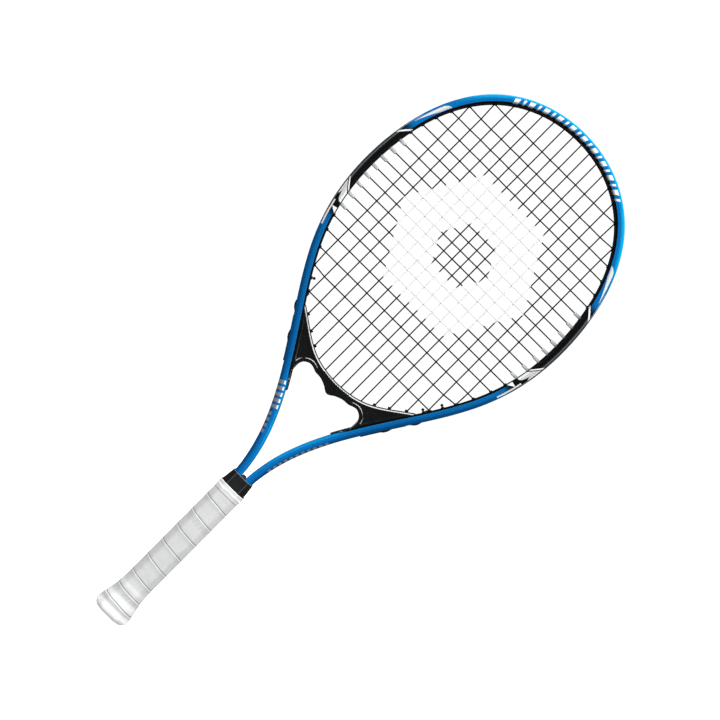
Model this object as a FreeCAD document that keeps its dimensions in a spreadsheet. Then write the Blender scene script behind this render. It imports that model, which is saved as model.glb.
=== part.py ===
import FreeCAD, Part
import math, os
from FreeCAD import Vector
import Sketcher

# Tennis racket, standing on its butt end: +Z runs from the butt to the tip of
# the head, X is the width, Y the depth (the string bed lies in the XZ plane,
# the front face looks along -Y). Origin: centre of the butt end.

doc = FreeCAD.newDocument("tennis_racket")

# ------------------------------------------------------------------ the sheet
sheet = doc.addObject("Spreadsheet::Sheet", "Sheet")
rows = []
VAL = {}


def dim(alias, value):
    n = len(rows) + 1
    rows.append(alias)
    VAL[alias] = float(value)
    sheet.set("A%d" % n, alias)
    sheet.set("B%d" % n, repr(float(value)))
    sheet.setAlias("B%d" % n, alias)


# frame tube: a bent hollow extrusion
dim("overall_length", 698.5)
dim("tube_width", 9.5)
dim("tube_depth", 22.0)
dim("tube_wall", 1.0)
dim("outer_face_half", 5.5)
dim("flank_in", 1.5)
dim("flank_half", 8.2)
dim("crown_in", 4.0)
dim("inner_chamfer_in", 1.4)
dim("inner_face_half", 9.4)
dim("groove_half", 3.5)
dim("groove_depth", 2.4)
dim("leg_offset", 7.15)
dim("leg_end_z", 46.0)
# centre line of the right half of the hoop and shaft: knots with heading,
# measured down from +X
KNOTS = [("a", 0.0, 693.75, 0.0), ("b", 58.15, 681.0, 25.34),
         ("c", 97.78, 651.2, 48.76), ("d", 123.30, 608.5, 68.40),
         ("e", 136.40, 555.3, 82.96), ("f", 137.58, 500.4, 94.74),
         ("g", 124.79, 441.9, 110.28), ("i", 97.86, 388.4, 121.52),
         ("j", 65.25, 338.1, 122.94), ("k", 30.01, 277.6, 116.02),
         ("l", 11.33, 226.04, 102.6), ("n", 7.15, 192.0, 90.0)]
for nm, kx, kz, ka in KNOTS:
    dim("knot_%s_x" % nm, kx)
    dim("knot_%s_z" % nm, kz)
    dim("knot_%s_deg" % nm, ka)
# strings
dim("string_dia", 1.3)
dim("weave_amp", 0.72)
dim("string_side", 0.95)
dim("string_rise", 3.75)
MAINS = [103.55, 86.71, 71.73, 57.15, 43.72, 30.64, 18.12, 5.97]
for q, mx in enumerate(MAINS):
    dim("main_%s_x" % "abcdefgh"[q], mx)
CROSSES = [654.3, 633.9, 618.1, 602.5, 587.6, 573.3, 559.9, 547.1, 534.5,
           522.3, 510.2, 498.0, 484.0, 470.1, 456.6, 441.1, 423.2, 404.4, 382.5]
for q, cz in enumerate(CROSSES):
    dim("cross_%s_z" % "abcdefghijklmnopqrs"[q], cz)
dim("barrel_out_r", 1.8)
dim("barrel_bore_r", 1.2)
dim("barrel_proud", 1.4)
dim("tube_hole_r", 1.85)
dim("strip_half", 3.3)
dim("strip_thick", 0.5)
dim("strip_hump_at", 449.5)
dim("sleeve_r", 1.85)
dim("sleeve_length", 7.6)
dim("slant_x", 0.40)
# yoke
dim("yoke_depth", 19.6)
dim("yoke_hole_r", 1.85)
dim("yoke_gap", 0.06)
dim("yoke_tail_thick", 1.5)
dim("yoke_tail_z", 293.2)
dim("yoke_horn_z", 371.3)
# upper arc of the yoke, right half: x, z, heading above +X
YOKE_TOP = [(0.0, 335.6, 0.0), (45.0, 346.6, 30.0), (77.9, 369.1, 35.5)]
for q, (yx, yz, ya) in enumerate(YOKE_TOP):
    dim("yoke_top_%s_x" % "abc"[q], yx)
    dim("yoke_top_%s_z" % "abc"[q], yz)
    dim("yoke_top_%s_deg" % "abc"[q], ya)
# lower outline of the yoke, right half, from the middle tab to the wing tip
YOKE_LOW = [(0.0, 320.2), (2.2, 320.8), (4.6, 322.2), (7.3, 324.1), (11.6, 326.0),
            (16.2, 327.5), (20.1, 327.8), (24.0, 328.1), (27.3, 329.3), (29.9, 330.2),
            (33.2, 330.6), (37.1, 329.3), (40.4, 326.7), (42.3, 323.4), (42.7, 319.2),
            (42.6, 313.7)]
for q, (yx, yz) in enumerate(YOKE_LOW):
    dim("yoke_low_%s_x" % "abcdefghijklmnop"[q], yx)
    dim("yoke_low_%s_z" % "abcdefghijklmnop"[q], yz)
# handle
dim("pallet_w", 28.8)
dim("pallet_d", 26.4)
dim("pallet_c", 6.26)
dim("pallet_end_w", 26.3)
dim("pallet_end_d", 23.9)
dim("pallet_end_c", 5.6)
dim("neck_w", 25.9)
dim("neck_d", 24.9)
dim("neck_c", 5.6)
dim("pallet_low_z", 4.3)
dim("cap_top_z", 42.0)
dim("grip_top_z", 182.5)
dim("neck_top_z", 190.0)
dim("web_top_z", 200.2)
dim("web_half", 2.25)
dim("grip_thick", 1.6)
dim("grip_w", 32.1)
dim("grip_d", 29.7)
dim("grip_c", 7.2)
dim("grip_low_z", 8.0)
dim("tape_low_z", 177.2)
dim("tape_top_z", 182.8)
dim("tape_thick", 0.25)
dim("collar_low_z", 182.9)
dim("collar_top_z", 198.5)
dim("collar_low_w", 30.3)
dim("collar_low_d", 29.3)
dim("collar_low_c", 6.85)
dim("collar_top_w", 26.4)
dim("collar_top_d", 26.0)
dim("collar_top_c", 5.4)
dim("collar_low_t", 1.4)
dim("collar_top_t", 1.0)
dim("rivet_r", 1.5)
dim("rivet_head_r", 2.5)
dim("rivet_x", 5.3)
dim("rivet_head_h", 0.8)
dim("rivet_low_z", 72.0)
dim("rivet_high_z", 158.0)
dim("badge_r", 9.0)
dim("badge_thick", 1.0)
dim("badge_recess", 0.3)
dim("staple_wire", 0.8)
dim("staple_half", 4.0)
dim("staple_leg", 5.0)
dim("staple_z", 37.0)
dim("tack_z", 13.0)
dim("tack_r", 0.6)
dim("tack_head_r", 2.0)
dim("tack_length", 4.5)
for nm, zz, w, d, c in (("a", 0.0, 28.0, 25.0, 6.3), ("b", 1.2, 33.6, 30.6, 7.6),
                        ("c", 3.2, 38.0, 35.0, 8.6), ("d", 5.8, 41.2, 38.0, 9.3),
                        ("e", 7.9, 42.0, 38.8, 9.5)):
    dim("rim_%s_z" % nm, zz)
    dim("rim_%s_w" % nm, w)
    dim("rim_%s_d" % nm, d)
    dim("rim_%s_c" % nm, c)
FLARE = (("a", 8.0, 42.0, 38.8, 9.5), ("b", 9.5, 42.0, 38.8, 9.5), ("c", 14.2, 40.4, 37.3, 9.1),
         ("d", 19.0, 38.3, 35.3, 8.6), ("e", 27.0, 34.9, 32.2, 7.85), ("f", 36.0, 33.1, 30.6, 7.4),
         ("g", 46.0, 32.3, 29.9, 7.25), ("i", 60.0, 32.1, 29.7, 7.2), ("j", 182.5, 32.1, 29.7, 7.2))
for nm, zz, w, d, c in FLARE:
    dim("grip_%s_z" % nm, zz)
    dim("grip_%s_w" % nm, w)
    dim("grip_%s_d" % nm, d)
    dim("grip_%s_c" % nm, c)
    dim("core_%s_w" % nm, w - 2 * 1.6 - 0.05)
    dim("core_%s_d" % nm, d - 2 * 1.6 - 0.05)
    dim("core_%s_c" % nm, c - 0.95)
# the cap's sleeve follows the inside of the grip
for nm, zz, w, d, c in (("a", 7.9, 38.7, 35.5, 8.53), ("b", 9.5, 38.7, 35.5, 8.53), ("c", 14.2, 37.1, 34.0, 8.13),
                        ("d", 19.0, 35.0, 32.0, 7.63), ("e", 27.0, 31.6, 28.9, 6.88),
                        ("f", 36.0, 29.8, 27.3, 6.43), ("g", 42.0, 29.2, 26.8, 6.3)):
    dim("sleeve_%s_z" % nm, zz)
    dim("sleeve_%s_w" % nm, w)
    dim("sleeve_%s_d" % nm, d)
    dim("sleeve_%s_c" % nm, c)
dim("cavity_w", 26.4)
dim("cavity_d", 24.0)
dim("cavity_c", 5.62)
dim("cavity_z", 4.2)
dim("tape_w", 32.6)
dim("tape_d", 30.2)
dim("tape_c", 7.35)
dim("tape_in_w", 32.12)
dim("tape_in_d", 29.72)
dim("tape_in_c", 7.2)
dim("collar_in_low_w", 27.5)
dim("collar_in_low_d", 26.5)
dim("collar_in_low_c", 6.03)
dim("collar_in_top_w", 24.4)
dim("collar_in_top_d", 24.0)
dim("collar_in_top_c", 4.81)
dim("split", 0.05)
dim("rivet_span", 60.0)

dim("slot_width", 1.8)
dim("rivet_clear_r", 1.55)
dim("rivet_seat_r", 2.55)
dim("seat_depth", 0.9)
dim("seat_off_front", 13.2)
dim("seat_off_back", -13.2)
dim("badge_seat_r", 9.05)
dim("badge_seat", 1.32)
doc.recompute()


def S(alias):
    return float(sheet.get(alias))


OUT = []          # (node name, object)


def keep(obj, label):
    obj.Label = label
    OUT.append((label, obj))


# ------------------------------------------------- the planar centre-line path
class Seg:
    """One straight run or tangent arc of the centre line, in (x, z)."""

    def __init__(self, p, q, t):
        cx, cz = q[0] - p[0], q[1] - p[1]
        self.p, self.q, self.t = p, q, t
        nx, nz = -t[1], t[0]                       # left-hand normal
        den = 2.0 * (nx * cx + nz * cz)
        if abs(den) < 1e-9:
            self.R = None
            self.L = math.hypot(cx, cz)
            self.te = t
        else:
            R = (cx * cx + cz * cz) / den
            self.R = R
            self.o = (p[0] + nx * R, p[1] + nz * R)
            a0 = math.atan2(p[1] - self.o[1], p[0] - self.o[0])
            a1 = math.atan2(q[1] - self.o[1], q[0] - self.o[0])
            da = a1 - a0
            if R > 0:
                while da < 0:
                    da += 2 * math.pi
            else:
                while da > 0:
                    da -= 2 * math.pi
            self.a0, self.da = a0, da
            self.L = abs(da * R)
            sg = 1 if R > 0 else -1
            self.te = (-math.sin(a0 + da) * sg, math.cos(a0 + da) * sg)

    def at(self, d):
        """point and heading at distance d"""
        if self.R is None:
            return (self.p[0] + self.t[0] * d, self.p[1] + self.t[1] * d), self.t
        a = self.a0 + self.da * d / self.L
        sg = 1 if self.R > 0 else -1
        r = abs(self.R)
        return ((self.o[0] + r * math.cos(a), self.o[1] + r * math.sin(a)),
                (-math.sin(a) * sg, math.cos(a) * sg))


def biarc(p0, t0, p1, t1):
    vx, vz = p1[0] - p0[0], p1[1] - p0[1]
    A = 2 * (t0[0] * t1[0] + t0[1] * t1[1] - 1)
    B = -2 * (vx * (t0[0] + t1[0]) + vz * (t0[1] + t1[1]))
    C = vx * vx + vz * vz
    if abs(A) < 1e-9:
        d = -C / B
    else:
        disc = math.sqrt(B * B - 4 * A * C)
        d = min(r for r in ((-B + disc) / (2 * A), (-B - disc) / (2 * A)) if r > 0)
    pm = ((p0[0] + p1[0] + d * (t0[0] - t1[0])) / 2, (p0[1] + p1[1] + d * (t0[1] - t1[1])) / 2)
    s1 = Seg(p0, pm, t0)
    return [s1, Seg(pm, p1, s1.te)]


def build_half():
    segs = []
    pts = []
    for nm, _, _, _ in KNOTS:
        a = math.radians(S("knot_%s_deg" % nm))
        pts.append(((S("knot_%s_x" % nm), S("knot_%s_z" % nm)), (math.cos(a), -math.sin(a))))
    for (p0, t0), (p1, t1) in zip(pts[:-1], pts[1:]):
        segs += biarc(p0, t0, p1, t1)
    segs.append(Seg((S("leg_offset"), S("knot_n_z")), (S("leg_offset"), S("leg_end_z")), (0.0, -1.0)))
    return segs


HALF = build_half()
HALF_L = sum(s.L for s in HALF)


def at(s):
    """Point, heading and outward normal at arc length s from the crown.
    s > 0 is the right half (+X), s < 0 the left half (mirrored)."""
    d = abs(s)
    for g in HALF:
        if d <= g.L + 1e-9:
            p, t = g.at(min(d, g.L))
            break
        d -= g.L
    else:
        p, t = HALF[-1].at(HALF[-1].L)
    n = (-t[1], t[0])                              # left of the heading = outward
    if s >= 0:
        return p, t, n
    return (-p[0], p[1]), (t[0], -t[1]), (-n[0], n[1])


def off(s, e, y=0.0):
    """3-D point at arc length s, e outward from the centre line, at depth y"""
    p, t, n = at(s)
    return Vector(p[0] + n[0] * e, y, p[1] + n[1] * e)


def find(fn, lo, hi):
    """root of fn between two arc lengths"""
    flo = fn(lo)
    for _ in range(80):
        mid = 0.5 * (lo + hi)
        fm = fn(mid)
        if (fm > 0) == (flo > 0):
            lo, flo = mid, fm
        else:
            hi = mid
    return 0.5 * (lo + hi)


def vec(p, y=0.0):
    return Vector(p[0], y, p[1])


def path_edges(s0, s1, e=0.0):
    """exact edges of the path from s0 to s1 (s0 < s1), offset e outward"""
    cuts = [0.0]
    for g in HALF:
        cuts.append(cuts[-1] + g.L)
    marks = sorted(set([-c for c in cuts] + cuts))
    marks = [s0] + [m for m in marks if s0 + 1e-6 < m < s1 - 1e-6] + [s1]
    out = []
    for a, b in zip(marks[:-1], marks[1:]):
        A, M, B = off(a, e), off((a + b) / 2, e), off(b, e)
        if A.sub(B).Length > 1e-7:
            bow = M.distanceToLine(A, B.sub(A))
            if bow < 1e-6:
                out.append(Part.LineSegment(A, B).toShape())
            else:
                out.append(Part.Arc(A, M, B).toShape())
    return out


# ------------------------------------------------------------ sketch helpers
def plane_of(body, role):
    return [f for f in body.Origin.OriginFeatures if f.Role == role][0]


def attach(body, sk, role="XY_Plane", offset=None):
    sk.AttachmentSupport = [(plane_of(body, role), "")]
    sk.MapMode = "FlatFace"
    if offset is not None:
        sk.AttachmentOffset = FreeCAD.Placement(Vector(0, 0, VAL.get(offset, 0.0)), FreeCAD.Rotation())
        sk.setExpression("AttachmentOffset.Base.z", "Sheet.%s" % offset)
    return sk


def ev(expr):
    """value of a sketch expression, for the starting geometry"""
    names = sorted(VAL, key=len, reverse=True)
    total = 0.0
    text = expr.replace(" ", "")
    # sums of products of sheet names and numbers
    token, sign, terms = "", 1.0, []
    for ch in text + "+":
        if ch in "+-" and token:
            terms.append((sign, token))
            token, sign = "", (1.0 if ch == "+" else -1.0)
        elif ch in "+-":
            sign = sign if ch == "+" else -sign
        else:
            token += ch
    for sg, tm in terms:
        v = 1.0
        op = "*"
        piece = ""
        for ch in tm + "*":
            if ch in "*/":
                w = VAL[piece] if piece in names else float(piece)
                v = v * w if op == "*" else v / w
                op, piece = ch, ""
            else:
                piece += ch
        total += sg * v
    return total


def bind(expr):
    """the same expression with each alias written as a sheet reference"""
    out, word = "", ""
    for ch in expr + " ":
        if ch.isalnum() or ch in "_.":
            word += ch
        else:
            if word:
                out += ("Sheet." + word) if word in VAL else word
                word = ""
            out += ch
    return out.strip()


def poly(sk, pts):
    """closed polygon; each corner is placed by two dimensions bound to the sheet"""
    n = len(pts)
    val = [Vector(ev(a), ev(b), 0) for a, b in pts]
    base = sk.GeometryCount
    for i in range(n):
        sk.addGeometry(Part.LineSegment(val[i], val[(i + 1) % n]), False)
    for i in range(n):
        sk.addConstraint(Sketcher.Constraint("Coincident", base + i, 2, base + (i + 1) % n, 1))
    for i, (a, b) in enumerate(pts):
        for kind, text, num in (("DistanceX", a, val[i].x), ("DistanceY", b, val[i].y)):
            if abs(num) < 1e-9:
                # on an axis: DistanceX = 0 is written as a point on the axis
                axis = -2 if kind == "DistanceX" else -1
                sk.addConstraint(Sketcher.Constraint("PointOnObject", base + i, 1, axis))
                continue
            k = sk.addConstraint(Sketcher.Constraint(kind, -1, 1, base + i, 1, num))
            sk.setExpression("Constraints[%d]" % k, bind(text))


def circle(sk, x, y, r):
    g = sk.addGeometry(Part.Circle(Vector(ev(x), ev(y), 0), Vector(0, 0, 1), ev(r)), False)
    k = sk.addConstraint(Sketcher.Constraint("Radius", g, ev(r)))
    sk.setExpression("Constraints[%d]" % k, bind(r))
    for kind, text in (("DistanceX", x), ("DistanceY", y)):
        num = ev(text)
        if abs(num) < 1e-9:
            sk.addConstraint(Sketcher.Constraint("PointOnObject", g, 3, -2 if kind == "DistanceX" else -1))
        else:
            k = sk.addConstraint(Sketcher.Constraint(kind, -1, 1, g, 3, num))
            sk.setExpression("Constraints[%d]" % k, bind(text))


def octagon(w, d, c):
    a, b = "%s/2" % w, "%s/2" % d
    return [("%s-%s" % (a, c), "-" + b), (a, "-%s+%s" % (b, c)), (a, "%s-%s" % (b, c)),
            ("%s-%s" % (a, c), b), ("-%s+%s" % (a, c), b), ("-" + a, "%s-%s" % (b, c)),
            ("-" + a, "-%s+%s" % (b, c)), ("-%s+%s" % (a, c), "-" + b)]


def new_body(name):
    return doc.addObject("PartDesign::Body", name + "_body")


def oct_sketch(body, name, w, d, c, z):
    sk = body.newObject("Sketcher::SketchObject", name)
    attach(body, sk, "XY_Plane", z)
    poly(sk, octagon(w, d, c))
    return sk


def loft(body, name, sketches, cut=False):
    f = body.newObject("PartDesign::SubtractiveLoft" if cut else "PartDesign::AdditiveLoft", name)
    f.Profile = sketches[0]
    f.Sections = sketches[1:]
    f.Ruled = True
    doc.recompute()
    return f


def pad(body, name, sk, length, mid=False, rev=False):
    f = body.newObject("PartDesign::Pad", name)
    f.Profile = sk
    f.Length = ev(length)
    f.setExpression("Length", bind(length))
    if mid:
        f.Midplane = True
    f.Reversed = rev
    doc.recompute()
    return f


def pocket(body, name, sk, length=None, rev=False, mid=False, expect=True):
    before = body.Shape.Volume
    f = body.newObject("PartDesign::Pocket", name)
    f.Profile = sk
    if length is None:
        f.Type = "ThroughAll"
    else:
        f.Length = ev(length)
        f.setExpression("Length", bind(length))
    if mid:
        f.Midplane = True
    f.Reversed = rev
    doc.recompute()
    if expect and not body.Shape.Volume < before - 1e-3:
        raise RuntimeError("%s cuts nothing" % name)
    return f


# --------------------------------------------------------------- frame tube
path = doc.addObject("Part::Feature", "frame_path")
S0 = -HALF_L
path.Shape = Part.Wire(path_edges(-HALF_L, HALF_L))


def tube_profile(name, pts):
    """section sketch at the lower end of the left leg; X there is -outward"""
    sk = doc.addObject("Sketcher::SketchObject", name)
    sk.Placement = FreeCAD.Placement(Vector(-S("leg_offset"), 0, S("leg_end_z")), FreeCAD.Rotation())
    poly(sk, pts)
    return sk


hw = "tube_width/2"
outer_half = [
    ("-%s+groove_depth" % hw, "groove_half"), ("-%s" % hw, "groove_half"),
    ("-%s" % hw, "outer_face_half"),
    ("-%s+flank_in" % hw, "flank_half"), ("-%s+crown_in" % hw, "tube_depth/2"),
    ("%s-inner_chamfer_in" % hw, "tube_depth/2"), (hw, "inner_face_half")]
neg = [(a, "-" + b) for a, b in outer_half]
outer_sk = tube_profile("tube_outer_profile", outer_half + neg[::-1])
bore_half = [
    ("-%s+groove_depth+tube_wall" % hw, "groove_half+tube_wall/2"),
    ("-%s+tube_wall" % hw, "groove_half+tube_wall/2+0.4"),
    ("-%s+flank_in+tube_wall" % hw, "flank_half-tube_wall/2"),
    ("-%s+crown_in+tube_wall/3" % hw, "tube_depth/2-tube_wall"),
    ("%s-inner_chamfer_in-tube_wall/3" % hw, "tube_depth/2-tube_wall"),
    ("%s-tube_wall" % hw, "inner_face_half-tube_wall/2")]


def negate(expr):
    """the expression with every term's sign turned over"""
    text = expr if expr[0] in "+-" else "+" + expr
    text = text.replace("-", "#").replace("+", "-").replace("#", "+")
    return text[1:] if text[0] == "+" else text


bore_neg = [(a, negate(b)) for a, b in bore_half]
bore_sk = tube_profile("tube_bore_profile", bore_half + bore_neg[::-1])
doc.recompute()


def sweep(name, sk):
    f = doc.addObject("Part::Sweep", name)
    f.Sections = [sk]
    f.Spine = (path, ["Edge%d" % (i + 1) for i in range(len(path.Shape.Edges))])
    f.Solid = True
    f.Frenet = False
    return f


solid_sweep = sweep("tube_solid", outer_sk)
bore_sweep = sweep("tube_bore", bore_sk)
doc.recompute()
hollow = doc.addObject("Part::Cut", "tube_hollow")
hollow.Base, hollow.Tool = solid_sweep, bore_sweep
doc.recompute()
print("tube", hollow.Shape.isValid(), round(hollow.Shape.Volume), len(hollow.Shape.Faces), hollow.Shape.BoundBox)

# ------------------------------------------------------------ string layout
EI = -S("tube_width") / 2                  # inner wall, measured outward
ER = S("string_rise")                      # string in the groove
EF = S("tube_width") / 2 - S("groove_depth")   # groove floor
YM, YC = -S("string_side"), S("string_side")   # mains behind, crosses in front
AMP = S("weave_amp")
MX = [S("main_%s_x" % q) for q in "abcdefgh"]
X = [-m for m in MX] + MX[::-1]            # sixteen mains, left to right
Z = [S("cross_%s_z" % q) for q in "abcdefghijklmnopqrs"]
SMAX = find(lambda s: at(s)[1][0], 150.0, 330.0)      # widest point of the hoop


def top_hole(x):
    """arc length of the hole for a main at x, over the crown"""
    s = find(lambda q: off(q, EI).x - abs(x), 0.0, SMAX)
    return s if x > 0 else -s


def side_hole(z):
    if off(SMAX, EI).z < z:
        return find(lambda q: off(q, EI).z - z, 5.0, SMAX)
    return find(lambda q: off(q, EI).z - z, SMAX, HALF_L - 5)


side = [side_hole(z) for z in Z]                       # right-hand side
top = [top_hole(x) for x in X]
# the outermost mains share their holes with a cross string
side[0] = 0.5 * (side[0] + top[14])
top[14], top[1] = side[0], -side[0]
side[1] = 0.5 * (side[1] + top[15])
top[15], top[0] = side[1], -side[1]
low1 = find(lambda q: off(q, EI).x - MX[0], SMAX, HALF_L - 5)
side[17] = 0.5 * (side[17] + low1)
low1 = side[17]
print("holes top", [round(q, 1) for q in top[8:]], "side", [round(q, 1) for q in side])


def yoke_chain(table, names, heads=None):
    pts = [(S("%s_%s_x" % (table, c)), S("%s_%s_z" % (table, c))) for c in names]
    if heads:
        dirs = [(math.cos(math.radians(a)), math.sin(math.radians(a))) for a in heads]
    else:
        dirs = []
        for q in range(len(pts)):
            a, b = pts[max(q - 1, 0)], pts[min(q + 1, len(pts) - 1)]
            L = math.hypot(b[0] - a[0], b[1] - a[1])
            dirs.append(((b[0] - a[0]) / L, (b[1] - a[1]) / L))
        dirs[0], dirs[-1] = (1.0, 0.0), (0.0, -1.0)
    out = []
    for q in range(len(pts) - 1):
        out += biarc(pts[q], dirs[q], pts[q + 1], dirs[q + 1])
    return out


yoke_top = yoke_chain("yoke_top", "abc", [S("yoke_top_%s_deg" % c) for c in "abc"])
yoke_low = yoke_chain("yoke_low", "abcdefghijklmnop")


def chain_z(chain, x):
    """height of a chain at x (first hit)"""
    for g in chain:
        for q in range(40):
            a, b = g.at(g.L * q / 40.0)[0], g.at(g.L * (q + 1) / 40.0)[0]
            if (a[0] - x) * (b[0] - x) <= 0 and a[0] != b[0]:
                return a[1] + (b[1] - a[1]) * (x - a[0]) / (b[0] - a[0])
    raise ValueError(x)


DS = Vector(S("slant_x"), 0, -math.sqrt(1 - S("slant_x") ** 2))    # right-hand slant


def on_line(P, D, e, lo, hi):
    """arc length where the line P + tD meets the offset curve e (right side)"""
    def f(q):
        v = off(q, e).sub(Vector(P.x, 0, P.z))
        return v.x * D.z - v.z * D.x
    return find(f, lo, hi)


S_LOW = find(lambda q: at(q)[0][1] - 395.0, SMAX, HALF_L - 5)
S_NECK = find(lambda q: at(q)[0][1] - 230.0, SMAX, HALF_L - 5)
DOWN = Vector(0, 0, -1)
# ends of the lower mains, right-hand side: (entry point, direction, outer arc length)
lower = {}
P = off(find(lambda q: off(q, EI).x - MX[1], SMAX, HALF_L - 5), EI)
lower[1] = (P, DOWN, find(lambda q: off(q, ER).x - MX[1], SMAX, HALF_L - 5))
for q in (2, 3, 4):
    P = Vector(MX[q], 0, chain_z(yoke_top, MX[q]))
    lower[q] = (P, DS, on_line(P, DS, ER, S_LOW, S_NECK))
for q in (1, 2, 3, 4):
    print("lower main", q + 1, lower[q][0], "exit z", round(off(lower[q][2], ER).z, 1))
S_TIE_M = find(lambda q: off(q, EI).z - 394.0, SMAX, HALF_L - 5)
S_TIE_C = find(lambda q: off(q, EI).z - 376.8, SMAX, HALF_L - 5)


def mirror(v):
    return Vector(-v.x, v.y, v.z)


def groove(s0, s1, y):
    """points along the groove between two holes"""
    n = max(1, int(math.ceil(abs(s1 - s0) / 8.0)))
    return [off(s0 + (s1 - s0) * q / n, ER, y) for q in range(1, n)]


def weave_main(i):
    zt = off(top[i], EI).z
    q = i if i < 8 else 15 - i
    zb = off(low1, EI).z if q == 0 else lower[q][0].z if q < 5 else chain_z(yoke_top, MX[q])
    pts = []
    for j, z in enumerate(Z):
        if zb + 3 < z < zt - 3:
            pts.append(Vector(X[i], AMP * (-1) ** (i + j), z))
    return pts                                 # from the top down


def top_end(i):
    return [off(top[i], EI, YM), off(top[i], ER, YM)]      # inside to outside


def bottom_end(i):
    """points from the bed down to the outside, for main i"""
    q = i if i < 8 else 15 - i
    sg = (lambda v: v) if i >= 8 else mirror
    if q == 0:
        return [sg(off(low1, EI, YM)), sg(off(low1, ER, YM))]
    if q < 5:
        P, D, s = lower[q]
        return [sg(Vector(P.x, YM, P.z)), sg(off(s, ER, YM))]
    zt, zl = chain_z(yoke_top, MX[q]), chain_z(yoke_low, MX[q])
    return [sg(Vector(MX[q], YM, zt)), sg(Vector(MX[q], YM, zl + 1.0))]


def low_s(i):
    q = i if i < 8 else 15 - i
    s = low1 if q == 0 else lower[q][2]
    return s if i >= 8 else -s


main_pts = []
# left tie-off, up main 1
tie = [off(-S_TIE_M, EI - 3.2, YM), off(-S_TIE_M, ER, YM)]
main_pts += tie + groove(-S_TIE_M, -low1, YM) + bottom_end(0)[::-1]
for i in range(16):
    bed = weave_main(i)
    if i % 2 == 0:
        main_pts += bed[::-1] + top_end(i) + groove(top[i], top[i + 1], YM) + top_end(i + 1)[::-1]
    else:
        main_pts += bed + bottom_end(i)
        if i < 15:
            if (i if i < 8 else 15 - i) < 5 and ((i + 1) if i + 1 < 8 else 14 - i) < 5:
                main_pts += groove(low_s(i), low_s(i + 1), YM)
            main_pts += bottom_end(i + 1)[::-1]
main_pts += groove(low1, S_TIE_M, YM) + [off(S_TIE_M, ER, YM), off(S_TIE_M, EI - 3.2, YM)]


def weave_cross(j):
    xe = off(side[j], EI).x
    return [Vector(x, -AMP * (-1) ** (i + j), Z[j]) for i, x in enumerate(X) if abs(x) < xe - 3]


def cross_end(j, right):
    s = side[j] if right else -side[j]
    return [off(s, EI, YC), off(s, ER, YC)]


cross_pts = [off(-side[0] + 9.0, ER, YC)] + cross_end(0, False)[::-1]
for j in range(19):
    right = j % 2 == 0
    bed = weave_cross(j)
    cross_pts += (bed if right else bed[::-1]) + cross_end(j, right)
    if j < 18:
        sg = 1 if right else -1
        cross_pts += groove(sg * side[j], sg * side[j + 1], YC) + cross_end(j + 1, right)[::-1]
cross_pts += groove(side[18], S_TIE_C, YC) + [off(S_TIE_C, ER, YC), off(S_TIE_C, EI - 3.2, YC)]


def cord_wire(pts, small):
    """straight runs joined by tangent arcs"""
    clean = [pts[0]]
    for v in pts[1:]:
        if v.sub(clean[-1]).Length > 0.05:
            clean.append(v)
    pts = clean
    edges, last, tight = [], pts[0], 1e9
    for a, b, c in zip(pts[:-2], pts[1:-1], pts[2:]):
        u, w = b.sub(a), c.sub(b)
        lu, lw = u.Length, w.Length
        u.normalize()
        w.normalize()
        turn = u.getAngle(w)
        if turn < 2e-4:
            continue
        room = 0.45 * min(lu, lw)
        r = min(small if turn > math.radians(20) else 7.0 if turn > math.radians(2) else 400.0,
                room / math.tan(turn / 2))
        tight = min(tight, r)
        k = r * math.tan(turn / 2)
        A, B = b.sub(u * k), b.add(w * k)
        bis = (w - u)
        bis.normalize()
        M = b.add(bis * (r / math.cos(turn / 2) - r))
        if A.sub(last).Length > 1e-5:
            edges.append(Part.LineSegment(last, A).toShape())
        edges.append(Part.Arc(A, M, B).toShape())
        last = B
    edges.append(Part.LineSegment(last, pts[-1]).toShape())
    return edges, tight


def tube_along(edges, r):
    """round solid of radius r, span by span, every face a cylinder or a torus"""
    e0 = edges[0]
    p0 = e0.valueAt(e0.FirstParameter)
    d0 = e0.tangentAt(e0.FirstParameter)
    ring = Part.Circle(p0, d0, r).toShape()
    start = ring.copy()
    faces = []
    for e in edges:
        if isinstance(e.Curve, Part.Line):
            v = e.Vertexes[-1].Point.sub(e.Vertexes[0].Point)
            faces += ring.extrude(v).Faces
            nxt = ring.copy()
            nxt.translate(v)
        else:
            c = e.Curve
            ang = math.degrees(e.LastParameter - e.FirstParameter)
            faces += ring.revolve(c.Center, c.Axis, ang).Faces
            nxt = ring.copy()
            nxt.rotate(c.Center, c.Axis, ang)
        ring = nxt
    caps = [Part.Face(Part.Wire([start])), Part.Face(Part.Wire([ring]))]
    comp = Part.makeCompound(faces + caps)
    comp.sewShape()
    shells = comp.Shells
    if len(shells) != 1:
        raise RuntimeError("string did not close: %d shells" % len(shells))
    sol = Part.makeSolid(shells[0])
    if sol.Volume < 0:
        sol.reverse()
    length = sum(e.Length for e in edges)
    print("string length mm", round(length, 1), "volume ratio", round(sol.Volume / (math.pi * r * r * length), 4))
    return sol


em, tm = cord_wire(main_pts, 1.35)
ec, tc = cord_wire(cross_pts, 1.35)
print("runs", len(em), len(ec), "tightest", round(tm, 2), round(tc, 2))
main_solid = tube_along(em, S("string_dia") / 2)
cross_solid = tube_along(ec, S("string_dia") / 2)
print("strings", main_solid.isValid(), cross_solid.isValid(), len(main_solid.Faces), len(cross_solid.Faces))


def feature(name, shape):
    f = doc.addObject("Part::Feature", name)
    f.Shape = shape
    f.Placement = FreeCAD.Placement()
    keep(f, name)
    return f


def with_knots(solid, ends):
    """a small overhand knot at each tied-off end"""
    for p, d in ends:
        k = Part.makeSphere(S("string_dia") * 1.15, p)
        solid = solid.fuse(k)
    sol = solid.Solids[0]
    return sol


main_solid = with_knots(main_solid, [(main_pts[0], None), (main_pts[-1], None)])
cross_solid = with_knots(cross_solid, [(cross_pts[-1], None)])

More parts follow.
